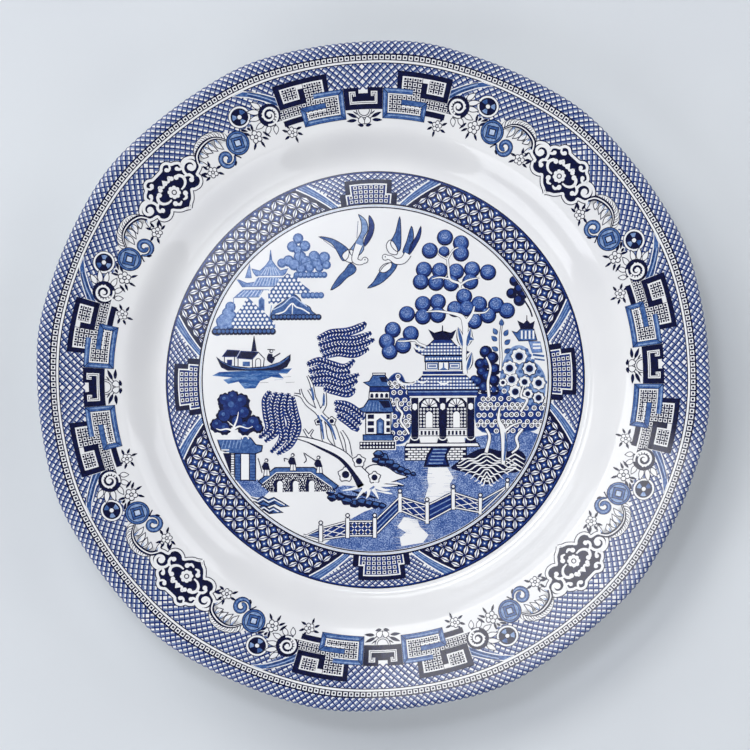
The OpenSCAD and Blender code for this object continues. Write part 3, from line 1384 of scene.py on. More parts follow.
class Birds:
    """Two birds that fly towards each other over the water."""

    def bird(self, name: str, parts: Sequence[tuple[Sequence[Point], Ink]], neck: Sequence[Point]) -> None:
        """Draws one bird from its wings and body."""
        art = scene_sheet(name)
        for outline, ink in parts:
            art.shape(smooth(outline, closed=True, steps=3), ink, NAVY if ink is not NAVY else DEEP, 0.32, 2)
        for outline, ink in parts:
            if ink in (SOFT, BLUE):
                tip, root = Vector(outline[0]), Vector(outline[len(outline) // 2])
                middle = tip.lerp(root, 0.55)
                art.ribbon([tuple(tip.lerp(root, 0.15)), tuple(middle)], [0.2, 0.9, 0.2], DEEP, 3)
        path = smooth(neck)
        art.ribbon(path, [1.6, 2.6, 3.2], NAVY, 4)
        art.ribbon(path, [1.1, 2, 2.6], WHITE, 5)
        head = neck[0]
        art.disc(head, 1.35, NAVY, 4, 12)
        art.disc(head, 1.05, WHITE, 5.5, 12)
        art.disc((head[0], head[1] + 0.2), 0.28, NAVY, 6, 8)
        lay_scene(art)

    def build(self) -> None:
        """Draws both birds."""
        left = (
            ([(-21.8, 55.8), (-17, 55.1), (-13, 53), (-10.2, 50.4), (-10.6, 47.4), (-12.6, 46.4), (-14.6, 49.8),
            (-17, 53.2)], BLUE),
            ([(-6.4, 64.4), (-3.5, 62), (-2.8, 58.2), (-4.6, 54.9), (-4.4, 50.6), (-7.6, 47.6), (-9.9, 50),
            (-7.6, 53.6), (-5.4, 57.6), (-5.4, 61.6)], SOFT),
            ([(-2.3, 64), (-0.3, 60.4), (-1.2, 55.8), (-3.9, 52), (-4, 54.6), (-2.4, 58.4)], DEEP),
            ([(-17.2, 35), (-14.4, 39.8), (-11.8, 42.6), (-9.6, 45.4), (-7.4, 43.6), (-8, 41.6), (-11, 39.6),
            (-13.8, 36.8)], BLUE),
            ([(-12.8, 48.6), (-10.2, 50.8), (-8.2, 50), (-7.2, 47.4), (-8.8, 45.6), (-11.6, 46.4)], WHITE),
        )
        self.bird("landscape_bird_left", left, [(-3.9, 46.5), (-5.6, 45.6), (-7.8, 46.6), (-7.2, 49.8), (-6.2, 52.6)])
        right = (
            ([(9.6, 63.5), (10.1, 57.4), (9.9, 51), (8.2, 50), (6, 53), (8, 57.4)], BLUE),
            ([(14.1, 59.6), (15, 56.2), (14.4, 52.4), (12.8, 48.8), (10.8, 49.6), (12.3, 53.8)], BLUE),
            ([(17.8, 59.6), (17.7, 56), (15.8, 52), (13.3, 48.6), (13.8, 52.4), (16, 55.6)], DEEP),
            (
                [(-2.8, 35.6), (1.9, 37.2), (6, 40.6), (8.6, 44.4), (6.6, 45.6), (3.6, 44.2), (1.2, 41), (-0.6, 38)],
                BLUE,
            ),
            ([(4.4, 52.4), (6.2, 54.4), (8.6, 51.2), (8.4, 48.6), (5.4, 49.4)], WHITE),
            ([(1.6, 42.4), (3.4, 44.8), (6.4, 45.4), (6, 43.2), (3.6, 41.6)], WHITE),
        )
        self.bird("landscape_bird_right", right, [(4, 47.6), (6, 47.4), (8.2, 46), (11, 46.4), (12.8, 48.8)])


@dataclass
class FarShore:
    """The pale far shore: pavilion roofs, dotted shrubs, a rounded tree and a mount, on rows of rounded ground."""

    tree: tuple[tuple[float, float, float], ...] = (
        (-29.9, 55.2, 1.9), (-32.1, 52, 2), (-27.3, 52.2, 2), (-29.9, 50.6, 1.7), (-29.2, 48, 2.3),
        (-33.6, 46.4, 2.1), (-36.2, 45.6, 1.7), (-31.3, 45, 2.2), (-23.7, 48.2, 2), (-19.7, 47.7, 2.1),
        (-26.6, 46, 2.2), (-22.4, 45.4, 2.1), (-18.9, 44.8, 1.6), (-25.4, 43.6, 1.6), (-28.8, 43.4, 1.9),
        (-21.6, 43.6, 1.5),
    )

    def trees(self) -> None:
        """Draws the rounded tree and the bushes at the left."""
        art = scene_sheet("landscape_far_trees")
        bushes = [(-57.5 + 1.5 * math.sin(i * 2.1), 33.2 - 1.15 * i, 1.9) for i in range(12)]
        bushes += [(-60.5 + 1.2 * math.sin(i * 1.7), 28 - 1.25 * i, 1.8) for i in range(8)]
        bushes += [(-55.6, 25, 1.8), (-55.2, 22.4, 1.8), (-62.2, 21.4, 1.5)]
        for x, y, r in (*self.tree, *bushes):
            if math.hypot(x, y) + r < 66.4:
                art.disc((x, y), r + 0.2, BLUE, 1, 12)
                art.disc((x - 0.1, y + 0.2), r * 0.76, DISTANT, 2, 12)
        art.ribbon(smooth([(-29.6, 43.2), (-29.4, 47), (-28.8, 51)]), 0.4, BLUE, 3)
        art.ribbon(smooth([(-29.4, 44.5), (-26, 46.2), (-22, 46.4)]), 0.35, BLUE, 3)
        lay_scene(art)

    def roofs(self) -> None:
        """Draws the far pavilion: finial, curved roofs with ribs, white walls and a door."""
        art = scene_sheet("landscape_far_pavilion")
        art.ribbon([(-40.6, 50.8), (-40.6, 47)], [0.3, 0.8, 0.3, 0.9, 0.5, 1.2], BLUE, 3)
        top = [
            (-40.6, 47.4), (-38.8, 44.8), (-36.8, 42.6), (-33.9, 43.4), (-34.9, 41.4), (-36, 40.6), (-46.2, 40.6),
            (-47.2, 41.8), (-47.9, 43.4), (-44.8, 42.6), (-42.6, 44.6),
        ]
        second = [
            (-45.1, 40.2), (-36, 40.2), (-36.4, 36.5), (-51.4, 36.5), (-52.2, 37.6), (-53, 39.2), (-49.8, 37.8),
            (-46.8, 38.2),
        ]
        spire = [(-48.8, 45.4), (-48.1, 40), (-50.4, 40)]
        third = [(-52.4, 38.8), (-50.8, 36.4), (-51.6, 36.4), (-54.2, 39.6)]
        wall = [(-51.4, 35.2), (-41.4, 35.2), (-40, 30.5), (-41, 24), (-55, 24), (-55, 32)]
        art.shape(wall, WHITE, DISTANT, 0.3, 1)
        lower = [(-50.8, 35.2), (-43.4, 35.2), (-45.2, 32.4), (-54.9, 32.2)]
        for outline in (top, second, spire, third, lower):
            art.shape(outline, DISTANT, BLUE, 0.3, 2)
        for i in range(7):
            art.ribbon([(-44.4 + 1.25 * i, 40.9), (-42.2 + 0.55 * i, 44)], 0.3, PALE, 3.5)
        for i in range(9):
            art.ribbon([(-47.6 + 1.25 * i, 36.8), (-45.8 + 1.05 * i, 39.8)], 0.32, PALE, 3.5)
        for i in range(6):
            art.ribbon([(-53.2 + 1.6 * i, 32.6), (-50.6 + 1.35 * i, 35)], 0.4, PALE, 3.5)
        art.ribbon([(-45.4, 40.35), (-35.4, 40.35)], 0.55, WHITE, 4)
        art.ribbon([(-52.6, 35.9), (-40.4, 35.9)], 0.6, WHITE, 4)
        door = [(-45.1, 27), (-43.1, 27), (-43.1, 31.2), (-44.1, 32.3), (-45.1, 31.2)]
        art.shape(door, BLUE, DISTANT, 0.3, 3)
        lay_scene(art)

    def ground(self) -> None:
        """Draws the mount, the dotted shrubs and the rows of rounded ground."""
        art = scene_sheet("landscape_far_ground")
        mount = smooth([(-41, 24.4), (-39.2, 28), (-35.8, 30.4), (-32.1, 33.4), (-29.4, 31.8), (-28.4, 30),
                        (-25.4, 28.4), (-24.4, 26.6), (-21.4, 24.6)], steps=3)
        art.shape(mount, BLUE, NAVY, 0.3, 1)
        art.ribbon(smooth([(-38.6, 25.6), (-35.4, 26.6), (-33.6, 28.6), (-32.1, 29.8), (-30.6, 28.4), (-28.2, 27.6),
            (-25.4, 25.8)]), 0.55, WHITE, 2.5)
        art.ribbon([(-32, 29.8), (-32.2, 25.4)], [0.5, 0.2], WHITE, 2.5)
        art.ribbon(smooth([(-39.6, 27.4), (-36, 29.2), (-32.1, 32.4), (-29.2, 30.6), (-26.4, 28.6)]), 0.4, PALE, 2.5)
        shrubs = (
            [(-49.6, 32.6), (-46.6, 29.6), (-42, 25.4), (-38.8, 22), (-38.8, 20.2), (-55.8, 20.2), (-55.6, 24),
            (-51.6, 28.8)],
            [(-34.2, 41.6), (-30.8, 40.2), (-27.8, 37), (-25.2, 35), (-26.6, 33.2), (-31, 33.6), (-33.4, 32.6),
            (-38, 29.6), (-41.4, 29.8), (-41.6, 34), (-38.2, 37.4)],
        )
        for outline in shrubs:
            art.patch(outline, BLUE, 4)
            for x, y in scatter((-56, 20.6), (-25, 41.4), 1.75, within(outline)):
                art.disc((x, y), 0.62, WHITE, 5, 8)
        for start, end, r, ink in (
            ((-31.2, 40.9), -19, 1.15, DISTANT), ((-28.4, 32.9), -20.2, 1.15, DISTANT),
            ((-40.2, 24.4), -21.2, 1.1, BLUE), ((-63, 18.9), -39, 1.2, BLUE),
        ):
            scallops(art, start, end, r, ink, 6)
        lay_scene(art)

    def build(self) -> None:
        """Draws the whole far shore."""
        self.trees()
        self.roofs()
        self.ground()


class Boat:
    """A small roofed boat with its boatman and streaked reflection."""

    def build(self) -> None:
        """Draws the boat, the boatman and the water."""
        water = scene_sheet("landscape_water_streaks")
        water.patch([(-60.5, 3.2), (-32.2, 4.5), (-34.1, 2.4), (-37.4, 2.6), (-35.4, 0.5), (-40.2, 1.2),
            (-44.6, -0.4), (-46.4, -3.2), (-50.6, -3.4), (-53, -0.6), (-57, -1.5), (-59, 0.2), (-55.4, 1),
            (-63.3, 1.8)], WATER, 0)
        for i in range(12):
            x, y = -58 + 4.4 * (i % 6) + 1.3 * (i // 6), 2.2 - 1.1 * (i % 4)
            water.ribbon([(x, y), (x + 3.4, y + 0.15)], [0.1, 0.55, 0.1], NAVY if i % 2 else SOFT, 1)
        lay_scene(water)
        art = scene_sheet("landscape_boat")
        hull = [
            (-61.8, 9.3), (-59.7, 7.6), (-55.5, 5.7), (-49, 4.9), (-42.1, 5.4), (-37.1, 7), (-32.8, 10), (-32.8, 7.6),
            (-34.2, 5), (-37, 3.7), (-57.2, 3.7), (-59.8, 5),
        ]
        for low, high in (((-58.5, 5), (-54.6, 9.2)), ((-53.2, 4.7), (-47.4, 8.6))):
            art.box(low, high, WHITE, 1)
            art.ribbon([low, (low[0], high[1]), high, (high[0], low[1])], 0.35, NAVY, 2, closed=True)
        art.box((-57.5, 5.9), (-55.5, 8), DEEP, 3)
        art.box((-51.4, 5.4), (-48.6, 7.2), BLUE, 3)
        gable = [(-47.6, 4.8), (-47.6, 8.2), (-45.3, 10.8), (-43, 8.4), (-43.4, 4.8)]
        art.shape(gable, WHITE, NAVY, 0.35, 3)
        art.ribbon([(-46.4, 4.9), *arc((-45.4, 7.4), 1, 180, 0, 6), (-44.4, 4.9)], 0.3, NAVY, 5)
        art.shape([(-57.4, 11.8), (-52.6, 11.5), (-53.8, 9.2), (-59.3, 9.3)], NAVY, DEEP, 0.3, 4)
        art.shape([(-52.1, 11.3), (-45.6, 10.9), (-47.6, 8.1), (-53.6, 8.6)], NAVY, DEEP, 0.3, 4)
        art.ribbon([(-47, 17.2), (-47, 11.2)], [0.2, 0.7, 0.2, 0.9, 0.3, 0.5, 1, 2.2], NAVY, 5)
        art.patch(hull, NAVY, 6)
        art.ribbon(smooth([(-60.4, 7.7), (-55.5, 5.3), (-49, 4.4), (-42.1, 4.9), (-36.6, 6.6), (-33.4, 9)]),
            [0.2, 0.4, 0.5, 0.9, 0.3], BLUE, 7)
        art.ribbon(smooth([(-39.4, 7.4), (-40.8, 8.4), (-40.6, 10.2)]), [2.4, 2.5, 1.6], NAVY, 7)
        art.disc((-40.3, 11.2), 0.75, NAVY, 7, 10)
        art.disc((-40.2, 11.2), 0.45, WHITE, 8, 8)
        art.ribbon([(-41.8, 11.9), (-38.8, 11.7)], 0.35, NAVY, 8)
        art.ribbon([(-39.8, 8.6), (-36.8, 10.4)], 0.45, NAVY, 7)
        lay_scene(art)


@dataclass
class Willow:
    """The willow: a white trunk with navy shade, knots, bare twigs and three bunches of dashed fronds."""

    frond_width: float = 3.25

    def frond(self, art: Sheet, points: Sequence[Point]) -> None:
        """Draws one frond: a dark ribbon crossed by two rows of short white strokes."""
        path = smooth(points, steps=8)
        w = self.frond_width
        art.ribbon(path, [w * 0.6, w, w * 1.05, w, w * 0.4], DEEP, 1)
        art.ribbon(path, 0.26, NAVY, 2.5)
        gone, at = 0, 0.5
        for (x0, y0), (x1, y1) in zip(path, path[1:]):
            length = math.hypot(x1 - x0, y1 - y0)
            while at < gone + length:
                s = (at - gone) / length
                nx, ny = -(y1 - y0) / length, (x1 - x0) / length
                x, y = x0 + (x1 - x0) * s, y0 + (y1 - y0) * s
                for side in (-1, 1):
                    a, b = side * 0.14 * w, side * 0.33 * w
                    tip = (x + nx * b - abs(b) * ny * 0.5, y + ny * b + abs(b) * nx * 0.5)
                    art.ribbon([(x + nx * a, y + ny * a), tip], 0.3, WHITE, 2)
                at += 1.25
            gone += length

    def fronds(self) -> None:
        """Draws the three bunches."""
        bunches = {
            "landscape_willow_top": (
                [(-22.4, 15.8), (-17.2, 18), (-10.7, 18.6), (-5.6, 20.4), (-3.6, 22.2)],
                [(-22, 13.4), (-14.7, 15.4), (-7.3, 15.6), (-1.4, 18.2)],
                [(-21.4, 11), (-14.7, 13), (-7.3, 13), (-0.2, 15.6)],
                [(-20.4, 8.8), (-14.7, 10.6), (-8.2, 10), (-2.4, 12)],
                [(-26.4, 5.8), (-21.8, 7.2), (-16.6, 5.6), (-11.8, 4.6), (-8, 7.6)],
                [(-25.8, 3.2), (-19.7, 4.2), (-14.7, 2.6), (-9.6, 3)],
                [(-25.2, 0.6), (-18.2, 1.4), (-12.2, -0.2), (-6.2, 2)],
                [(-24, -1.6), (-18.6, -1.2), (-12.4, -2.8), (-6.8, -0.4)],
                [(-20, -3.4), (-15.4, -4.4), (-10.6, -5.4), (-7.6, -3.6)],
            ),
            "landscape_willow_left": (
                [(-40.5, -4.4), (-42.4, -8), (-41.9, -14), (-41.2, -19), (-45, -22.6)],
                [(-38.2, -4.8), (-39.8, -10.5), (-39, -16.5), (-39, -20.6), (-42.7, -24)],
                [(-35.9, -5), (-37.2, -11), (-36.4, -17.8), (-35.9, -23), (-40.4, -28.2)],
                [(-33.6, -5.2), (-34.4, -11), (-32.6, -16.5), (-33.4, -20.6), (-33.6, -24.6)],
                [(-32.2, -6.4), (-31.2, -13), (-30.2, -19), (-33.2, -25.2), (-38, -29)],
            ),
            "landscape_willow_right": (
                [(-15.9, -9), (-10.9, -10.2), (-6.6, -13), (-4, -15.4)],
                [(-15.6, -11.4), (-10.9, -13), (-5.4, -17.6)],
                [(-14.6, -13.6), (-10.4, -16.4), (-6.4, -20)],
            ),
        }
        for name, paths in bunches.items():
            art = scene_sheet(name)
            for points in paths:
                self.frond(art, points)
            lay_scene(art)

    def trunk(self) -> None:
        """Draws the trunk, its branches, roots and knots."""
        art = scene_sheet("landscape_willow_trunk")
        branches = (
            (
                [
                    (-16.3, -27.4), (-19.3, -23.4), (-20.3, -17.4), (-22, -13), (-26.2, -9.6), (-28.6, -6.4),
                    (-31.4, -5.6),
                ],
                [2.4, 1.9, 1.7, 1.4, 1, 0.7, 0.4],
            ),
            (
                [(-12.8, -30.4), (-14.8, -23.4), (-16.8, -17.8), (-21, -13.4), (-23.4, -7.6), (-25.8, -3.8)],
                [2.6, 2.2, 1.9, 1.6, 1.1, 0.4],
            ),
            ([(-21.6, -13), (-19.6, -10), (-19.4, -5.2)], [1.4, 1.1, 0.6]),
            ([(-23.6, -7.4), (-24.6, -2), (-26.2, 1.6)], [0.9, 0.8, 0.3]),
            ([(-27.4, -8.4), (-28.6, -5.4), (-29, -3.6)], [0.7, 0.5, 0.3]),
            ([(-9.9, -30), (-10.9, -24), (-13, -20)], [1.8, 1.3, 0.5]),
            ([(-23.6, -24.4), (-26, -21.6), (-27.6, -19.2)], [1.1, 0.8, 0.3]),
            ([(-25.6, -21.8), (-24, -19.4)], [0.7, 0.2]),
        )
        for points, widths in branches:
            stem(art, points, widths, 3, 0.7)
        main = [
            (-1.6, -42.2), (-4.8, -38), (-8.6, -33.8), (-13.3, -29.2), (-20.3, -25.6), (-26.3, -23.4), (-30, -22.6),
        ]
        stem(art, main, [6.2, 4.8, 3.9, 3.3, 2.4, 1.4, 0.5], 4, 0.8)
        shade = smooth([(-5.4, -41.8), (-8, -37.4), (-11.6, -32.6), (-15.4, -29.6), (-21.4, -26.6), (-26.4, -24.2)])
        art.ribbon(shade, [2.8, 1.8, 1.3, 1.2, 0.9, 0.4], NAVY, 6)
        for points in ([(-19.9, -23.2), (-20.8, -17.6), (-22.2, -13.8)], [(-15.2, -23.4), (-17.3, -18), (-21, -13.8)],
                [(-19.9, -10.2), (-19.8, -5.6)], [(-23.7, -8), (-24.6, -3)]):
            art.ribbon(smooth(points), [0.5, 1, 0.5], BLUE, 6)
        for x, y, r in ((-22, -16.4, 1.3), (-16.8, -16.2, 1.6), (-6.2, -31.8, 2.3), (-11.4, -37, 2.7),
                (-0.2, -38.2, 2.2)):
            art.shape(wavy((x, y), r, 5, 0.16, 18), WHITE, NAVY, 0.35, 5)
            art.disc((x, y), r * 0.55, NAVY, 6.5, 10)
        for points in ([(-4.2, -41), (-8.6, -42.6), (-12.6, -43.2)], [(-3.6, -42.2), (-5.6, -44.4), (-7.2, -46.4)],
                [(-2.4, -42.8), (-2.6, -44.8), (-3.4, -46.4)], [(-0.8, -42.6), (0.4, -44.6), (1.4, -46.6)],
                [(0, -41.6), (3.4, -43), (6, -43)], [(-0.4, -40.8), (4.4, -41.4), (8.8, -41.2)]):
            art.ribbon(smooth(points), [1.7, 1, 0.2], WHITE, 6)
        lay_scene(art)

    def build(self) -> None:
        """Draws the whole willow."""
        self.fronds()
        self.trunk()


class BridgeSide:
    """The near left: a gatehouse under a dark tree, a bridge of three arches and three tiny figures."""

    def tree(self) -> None:
        """Draws the dark tree with its white forked trunk."""
        art = scene_sheet("landscape_dark_tree")
        crowns = (
            (-55.1, -11, 5.4), (-58.2, -8, 3), (-52, -8.6, 3.4), (-55.2, -6.6, 2.6), (-51, -13, 3.2),
            (-58.4, -14.2, 3.3), (-61.2, -17.6, 2.9), (-58.4, -18.8, 2.6), (-47.2, -17, 3.3), (-45.2, -18.8, 2),
            (-50.4, -18.6, 3), (-53.4, -16.4, 3),
        )
        for x, y, r in crowns:
            art.patch(wavy((x, y), r, 9, 0.07, 36), NAVY, 1)
            art.disc((x - 0.05 * r, y + 0.15 * r), r * 0.68, DEEP, 2, 12)
            art.disc((x - 0.15 * r, y + 0.3 * r), r * 0.22, BLUE, 3, 10)
        for points, widths in (
            ([(-55, -22.6), (-55.2, -20.6), (-54.9, -18.6), (-53.6, -15.4), (-53, -12.4)], [2.2, 1.2, 0.9, 0.5, 0.2]),
            ([(-55.4, -19.6), (-57.6, -19), (-60, -19.4), (-61.6, -18.8)], [0.9, 0.6, 0.5, 0.2]),
            ([(-55, -19.2), (-52.6, -18), (-49.4, -18.8), (-47.4, -18)], [0.9, 0.6, 0.4, 0.2]),
            ([(-55.2, -17.8), (-57.2, -16)], [0.5, 0.2]),
        ):
            art.ribbon(smooth(points), widths, WHITE, 4)
        lay_scene(art)

    def gatehouse(self) -> None:
        """Draws the gatehouse, its bank and the wave-like rocks."""
        art = scene_sheet("landscape_gatehouse")
        bank = [
            (-54.2, -38.6), (-45.4, -38.8), (-42.6, -41), (-41, -43.4), (-43.4, -45.8), (-46.6, -45.6), (-48, -45.2),
            (-51.4, -41.9),
        ]
        art.patch(bank, STIPPLE, 1)
        art.box((-59, -38), (-54.4, -28.4), NAVY, 1)
        for i in range(10):
            art.box((-55.8, -37.4 + 0.95 * i), (-54.7, -36.8 + 0.95 * i), WHITE, 2)
        art.shape([(-54.4, -39), (-54.4, -28.2), (-46.3, -28.2), (-46.3, -39.2)], BLUE, NAVY, 0.4, 2)
        for i in range(9):
            y = -38 + 1.15 * i
            art.ribbon([(-54.2, y), (-52.2, y)], 0.22, DEEP, 3.5)
            art.ribbon([(-48.4, y), (-46.5, y)], 0.22, DEEP, 3.5)
        arch = [(-52.1, -39), (-52.1, -29), *arc((-50.4, -28.9), 1.7, 170, 10, 8), (-48.7, -29), (-48.7, -39)]
        art.shape(arch, WHITE, NAVY, 0.4, 4)
        roof = [
            (-61.2, -23), (-52, -22.8), (-50.2, -21.9), (-48.2, -22.6), (-46.2, -25.2), (-43.7, -25.6), (-44, -27.8),
            (-46.6, -28.8), (-56.6, -28.4), (-59.8, -27.2),
        ]
        art.shape(roof, BLUE, NAVY, 0.4, 5)
        for i in range(6):
            art.ribbon([(-59.6 + 1.4 * i, -26.6), (-58.6 + 1.35 * i, -23.4)], 0.4, SOFT, 6)
        art.ribbon([(-61.4, -22.9), (-52, -22.9)], 0.5, WHITE, 7)
        art.ribbon(arc((-50.3, -23), 1.2, 0, 180, 8), 0.5, WHITE, 7)
        for y in (-27.2, -28.2):
            art.ribbon([(-59.6, y), (-56.6, y)], 0.4, WHITE, 7)
        lay_scene(art)
        rocks = scene_sheet("landscape_wave_rocks")
        for outline, ridge in (
            ([(-48, -45.6), (-45.6, -46.6), (-43.6, -45.4), (-41.4, -46.6), (-39.2, -45.8), (-36.4, -47.4),
            (-33.4, -49.2), (-36.6, -49.4), (-38.8, -48.2), (-41.6, -49.2), (-44.6, -48.6)],
            [(-47.4, -46.4), (-45.4, -47.4), (-43.4, -46.3), (-41.2, -47.6), (-39, -46.6), (-35, -48.8)]),
            ([(-44.8, -49.4), (-43.2, -48.8), (-41, -50.2), (-39.4, -49.4), (-35.8, -51.6), (-41, -52)],
            [(-44, -50), (-43, -49.6), (-41, -51), (-39.4, -50.2), (-37.4, -51.4)]),
        ):
            rocks.shape(outline, BLUE, NAVY, 0.45, 1)
            rocks.ribbon(ridge, 0.4, WHITE, 3)
            rocks.ribbon([(x + 0.2, y - 0.8) for x, y in ridge[:-1]], 0.5, NAVY, 3)
        lay_scene(rocks)

    def bridge(self) -> None:
        """Draws the bridge: blue parapet, speckled wall and three white arches."""
        art = scene_sheet("landscape_bridge")
        wall = [(-44, -41.2), (-38.3, -36.7), (-24.8, -36.7), (-15.2, -43.4), (-41, -43.6), (-42.4, -42.2)]
        art.shape(wall, NAVY, NAVY, 0.3, 2)
        random.seed(7)
        inside = within(wall)
        for x, y in scatter((-44, -43.4), (-15, -36.9), 0.82, inside):
            x, y = x + random.uniform(-0.2, 0.2), y + random.uniform(-0.2, 0.2)
            size = random.uniform(0.18, 0.34)
            art.patch(arc((x, y), size, random.uniform(0, 90), 288, 4), WHITE, 3)
        for x in (-37.2, -31.1, -24.9):
            shade = [(x - 1.9, -43.6), (x - 1.9, -40.4), *arc((x - 0.4, -40.3), 1.6, 170, 10, 6), (x + 1.3, -43.6)]
            art.patch(shade, NAVY, 4)
            opening = [(x - 0.7, -43.9), (x - 0.7, -40.4), *arc((x + 0.35, -40.4), 1.05, 170, 10, 6), (x + 1.4, -43.9)]
            art.patch(opening, WHITE, 5)
        parapet = [
            (-45.2, -39.4), (-38.8, -34.2), (-23.7, -34.2), (-14.2, -41.4), (-15.6, -42.8), (-24.8, -36.4),
            (-38.3, -36.4), (-43.8, -40.8),
        ]
        art.shape(parapet, BLUE, NAVY, 0.45, 6)
        art.ribbon([(-43.6, -40.4), (-38.2, -36.1), (-24.9, -36.1), (-16.6, -42)], 0.35, WHITE, 8)
        lay_scene(art)

    def figure(self, art: Sheet, x: float, y: float, lean: float, staff: Sequence[Point]) -> None:
        """Draws one tiny robed figure with no features, standing at x, y."""
        art.shape([(x - 1.2, y), (x - 0.8, y + 2.6), (x + 0.9, y + 2.6), (x + 1.3, y)], WHITE, NAVY, 0.28, 7)
        art.ribbon([(x + 0.1, y + 0.2), (x + 0.1, y + 2.4)], 0.25, NAVY, 8)
        body = [
            (x - 1.4, y + 2.4), (x + 1.3, y + 2.3), (x + 1 + lean, y + 5), (x - 0.6 + lean, y + 5.4), (x - 2, y + 3.6),
        ]
        art.patch(body, NAVY, 8)
        art.disc((x + 0.3 + lean, y + 6.1), 0.78, NAVY, 8, 10)
        art.disc((x + 0.2 + lean, y + 6), 0.42, WHITE, 9, 8)
        art.ribbon(smooth(staff), 0.34, NAVY, 8)

    def figures(self) -> None:
        """Draws the three figures on the bridge."""
        art = scene_sheet("landscape_bridge_figures")
        self.figure(art, -42, -37.4, -0.4, [(-45.4, -30.4), (-44.6, -33), (-43.8, -36.2)])
        self.figure(art, -31.8, -35.4, -0.4, [(-33.6, -31), (-35.2, -30.6), (-35, -31.8)])
        self.figure(art, -21.6, -36.4, -0.6, [(-23, -31.6), (-26, -29.6), (-27.6, -28.6), (-26.6, -31.2),
            (-27.6, -32.4)])
        lay_scene(art)

    def build(self) -> None:
        """Draws the near left of the landscape."""
        self.tree()
        self.gatehouse()
        self.bridge()
        self.figures()


@dataclass
class FruitTree:
    """The tall tree of round dark fruit, with white forked branches."""

    fruit: tuple[Point, ...] = (
        (26.8, 49.6), (33.4, 48.8), (27.2, 55.1), (33.4, 52.8), (21.3, 50), (17.8, 37.9), (23.7, 37.4), (29.5, 37.2),
        (37, 37.8), (19, 42.6), (25.2, 42.2), (31.5, 41.8), (37.7, 42.6), (43.9, 41.4), (18.6, 24.3), (24.4, 24.9),
        (31.1, 27.2), (35.7, 27.4), (38.5, 22.4), (43.9, 24.6), (12.4, 25.3), (18.6, 29.2), (24.4, 30), (34.6, 32),
        (40.4, 29), (51.2, 26.4), (47, 28.6), (5.7, 10.7), (10.9, 13), (4.6, 14.7), (13.9, 17.6), (6.9, 19.2),
    )
    radius: float = 3.2

    def build(self) -> None:
        """Draws the fruit, then the branches over it."""
        art = scene_sheet("landscape_fruit_tree")
        for i, (x, y) in enumerate(self.fruit):
            r = self.radius * (0.68 if i == 0 else 1)
            level = 1 + 0.02 * i
            art.disc((x, y), r + 0.14, WHITE, level, 20)
            art.disc((x, y), r, NAVY, level + 0.5, 20)
            art.disc((x - 0.05, y + 0.28), r * 0.88, DEEP, level + 1, 18)
            art.disc((x - 0.1, y + 0.62), r * 0.7, FRUIT, level + 1.5, 16)
            art.disc((x - 0.15, y + 0.85), r * 0.44, STIPPLE, level + 2, 12)
        lay_scene(art)
        limbs = scene_sheet("landscape_fruit_tree_branches")
        for points, widths in (
            ([(35, 2), (34.6, 8), (34.9, 16), (35, 21), (33.4, 24.4), (28.8, 25.8)], [1.6, 1.5, 1.6, 2.2, 1.5, 0.7]),
            ([(34.8, 21.4), (37.6, 25), (38.6, 28.2)], [1.8, 1, 0.4]),
            ([(38, 25.6), (42.6, 25.8), (44.4, 27.4)], [0.8, 0.5, 0.3]),
            ([(29.6, 25.6), (24.6, 26.4), (20, 26.2)], [0.9, 0.6, 0.3]),
            ([(33, 35.4), (32.6, 37.2), (29.2, 38.8), (28.5, 43), (28.2, 46.8)], [0.9, 0.9, 0.8, 0.7, 0.5]),
            ([(33.2, 36.6), (36, 38.4), (40.6, 39.4)], [0.8, 0.6, 0.3]),
            ([(28.6, 39), (25, 39.6), (22.2, 39)], [0.7, 0.5, 0.3]),
            ([(28.2, 46.8), (30.4, 50.2), (32.4, 51.2)], [0.6, 0.5, 0.3]),
            ([(28.2, 46.6), (25.6, 48), (24.6, 49)], [0.6, 0.4, 0.3]),
            ([(19.6, 12.6), (17, 13.8), (15.4, 15), (11.6, 14.8), (8.8, 14.8)], [0.9, 0.7, 0.6, 0.5, 0.3]),
        ):
            stem(limbs, points, widths, 5, 0.35)
        for root, tip in (((34, 12.4), (32.2, 20.2)), ((35.6, 12.4), (37.2, 20)), ((35.6, 3), (37.6, 10.4)),
                ((35.8, 16), (38.4, 15.2))):
            limbs.patch(leaf_outline(root, tip, 3.1), NAVY, 4)
            limbs.patch(leaf_outline(root, tip, 2.3), WHITE, 5)
            limbs.patch(leaf_outline(root, tip, 1.3), BLUE, 6)
        lay_scene(limbs)


def chequer(art: Sheet, outline: Sequence[Point], pitch: float, level: float) -> None:
    """Fills a roof with blue and lays a grid of white dashes over it."""
    art.shape(outline, DEEP, NAVY, 0.4, level)
    xs, ys = [p[0] for p in outline], [p[1] for p in outline]
    inside = within(outline)
    for row in range(int((max(ys) - min(ys)) / pitch)):
        for column in range(int((max(xs) - min(xs)) / pitch) + 1):
            x, y = min(xs) + (column + 0.5) * pitch, min(ys) + (row + 0.5) * pitch
            if inside(x - 0.3, y) and inside(x + 0.3, y):
                art.box((x - 0.27 * pitch, y - 0.27 * pitch), (x + 0.27 * pitch, y + 0.27 * pitch), WHITE, level + 1)
                art.box((x + 0.27 * pitch, y - 0.27 * pitch), (x + 0.73 * pitch, y + 0.27 * pitch), SOFT, level + 0.8)


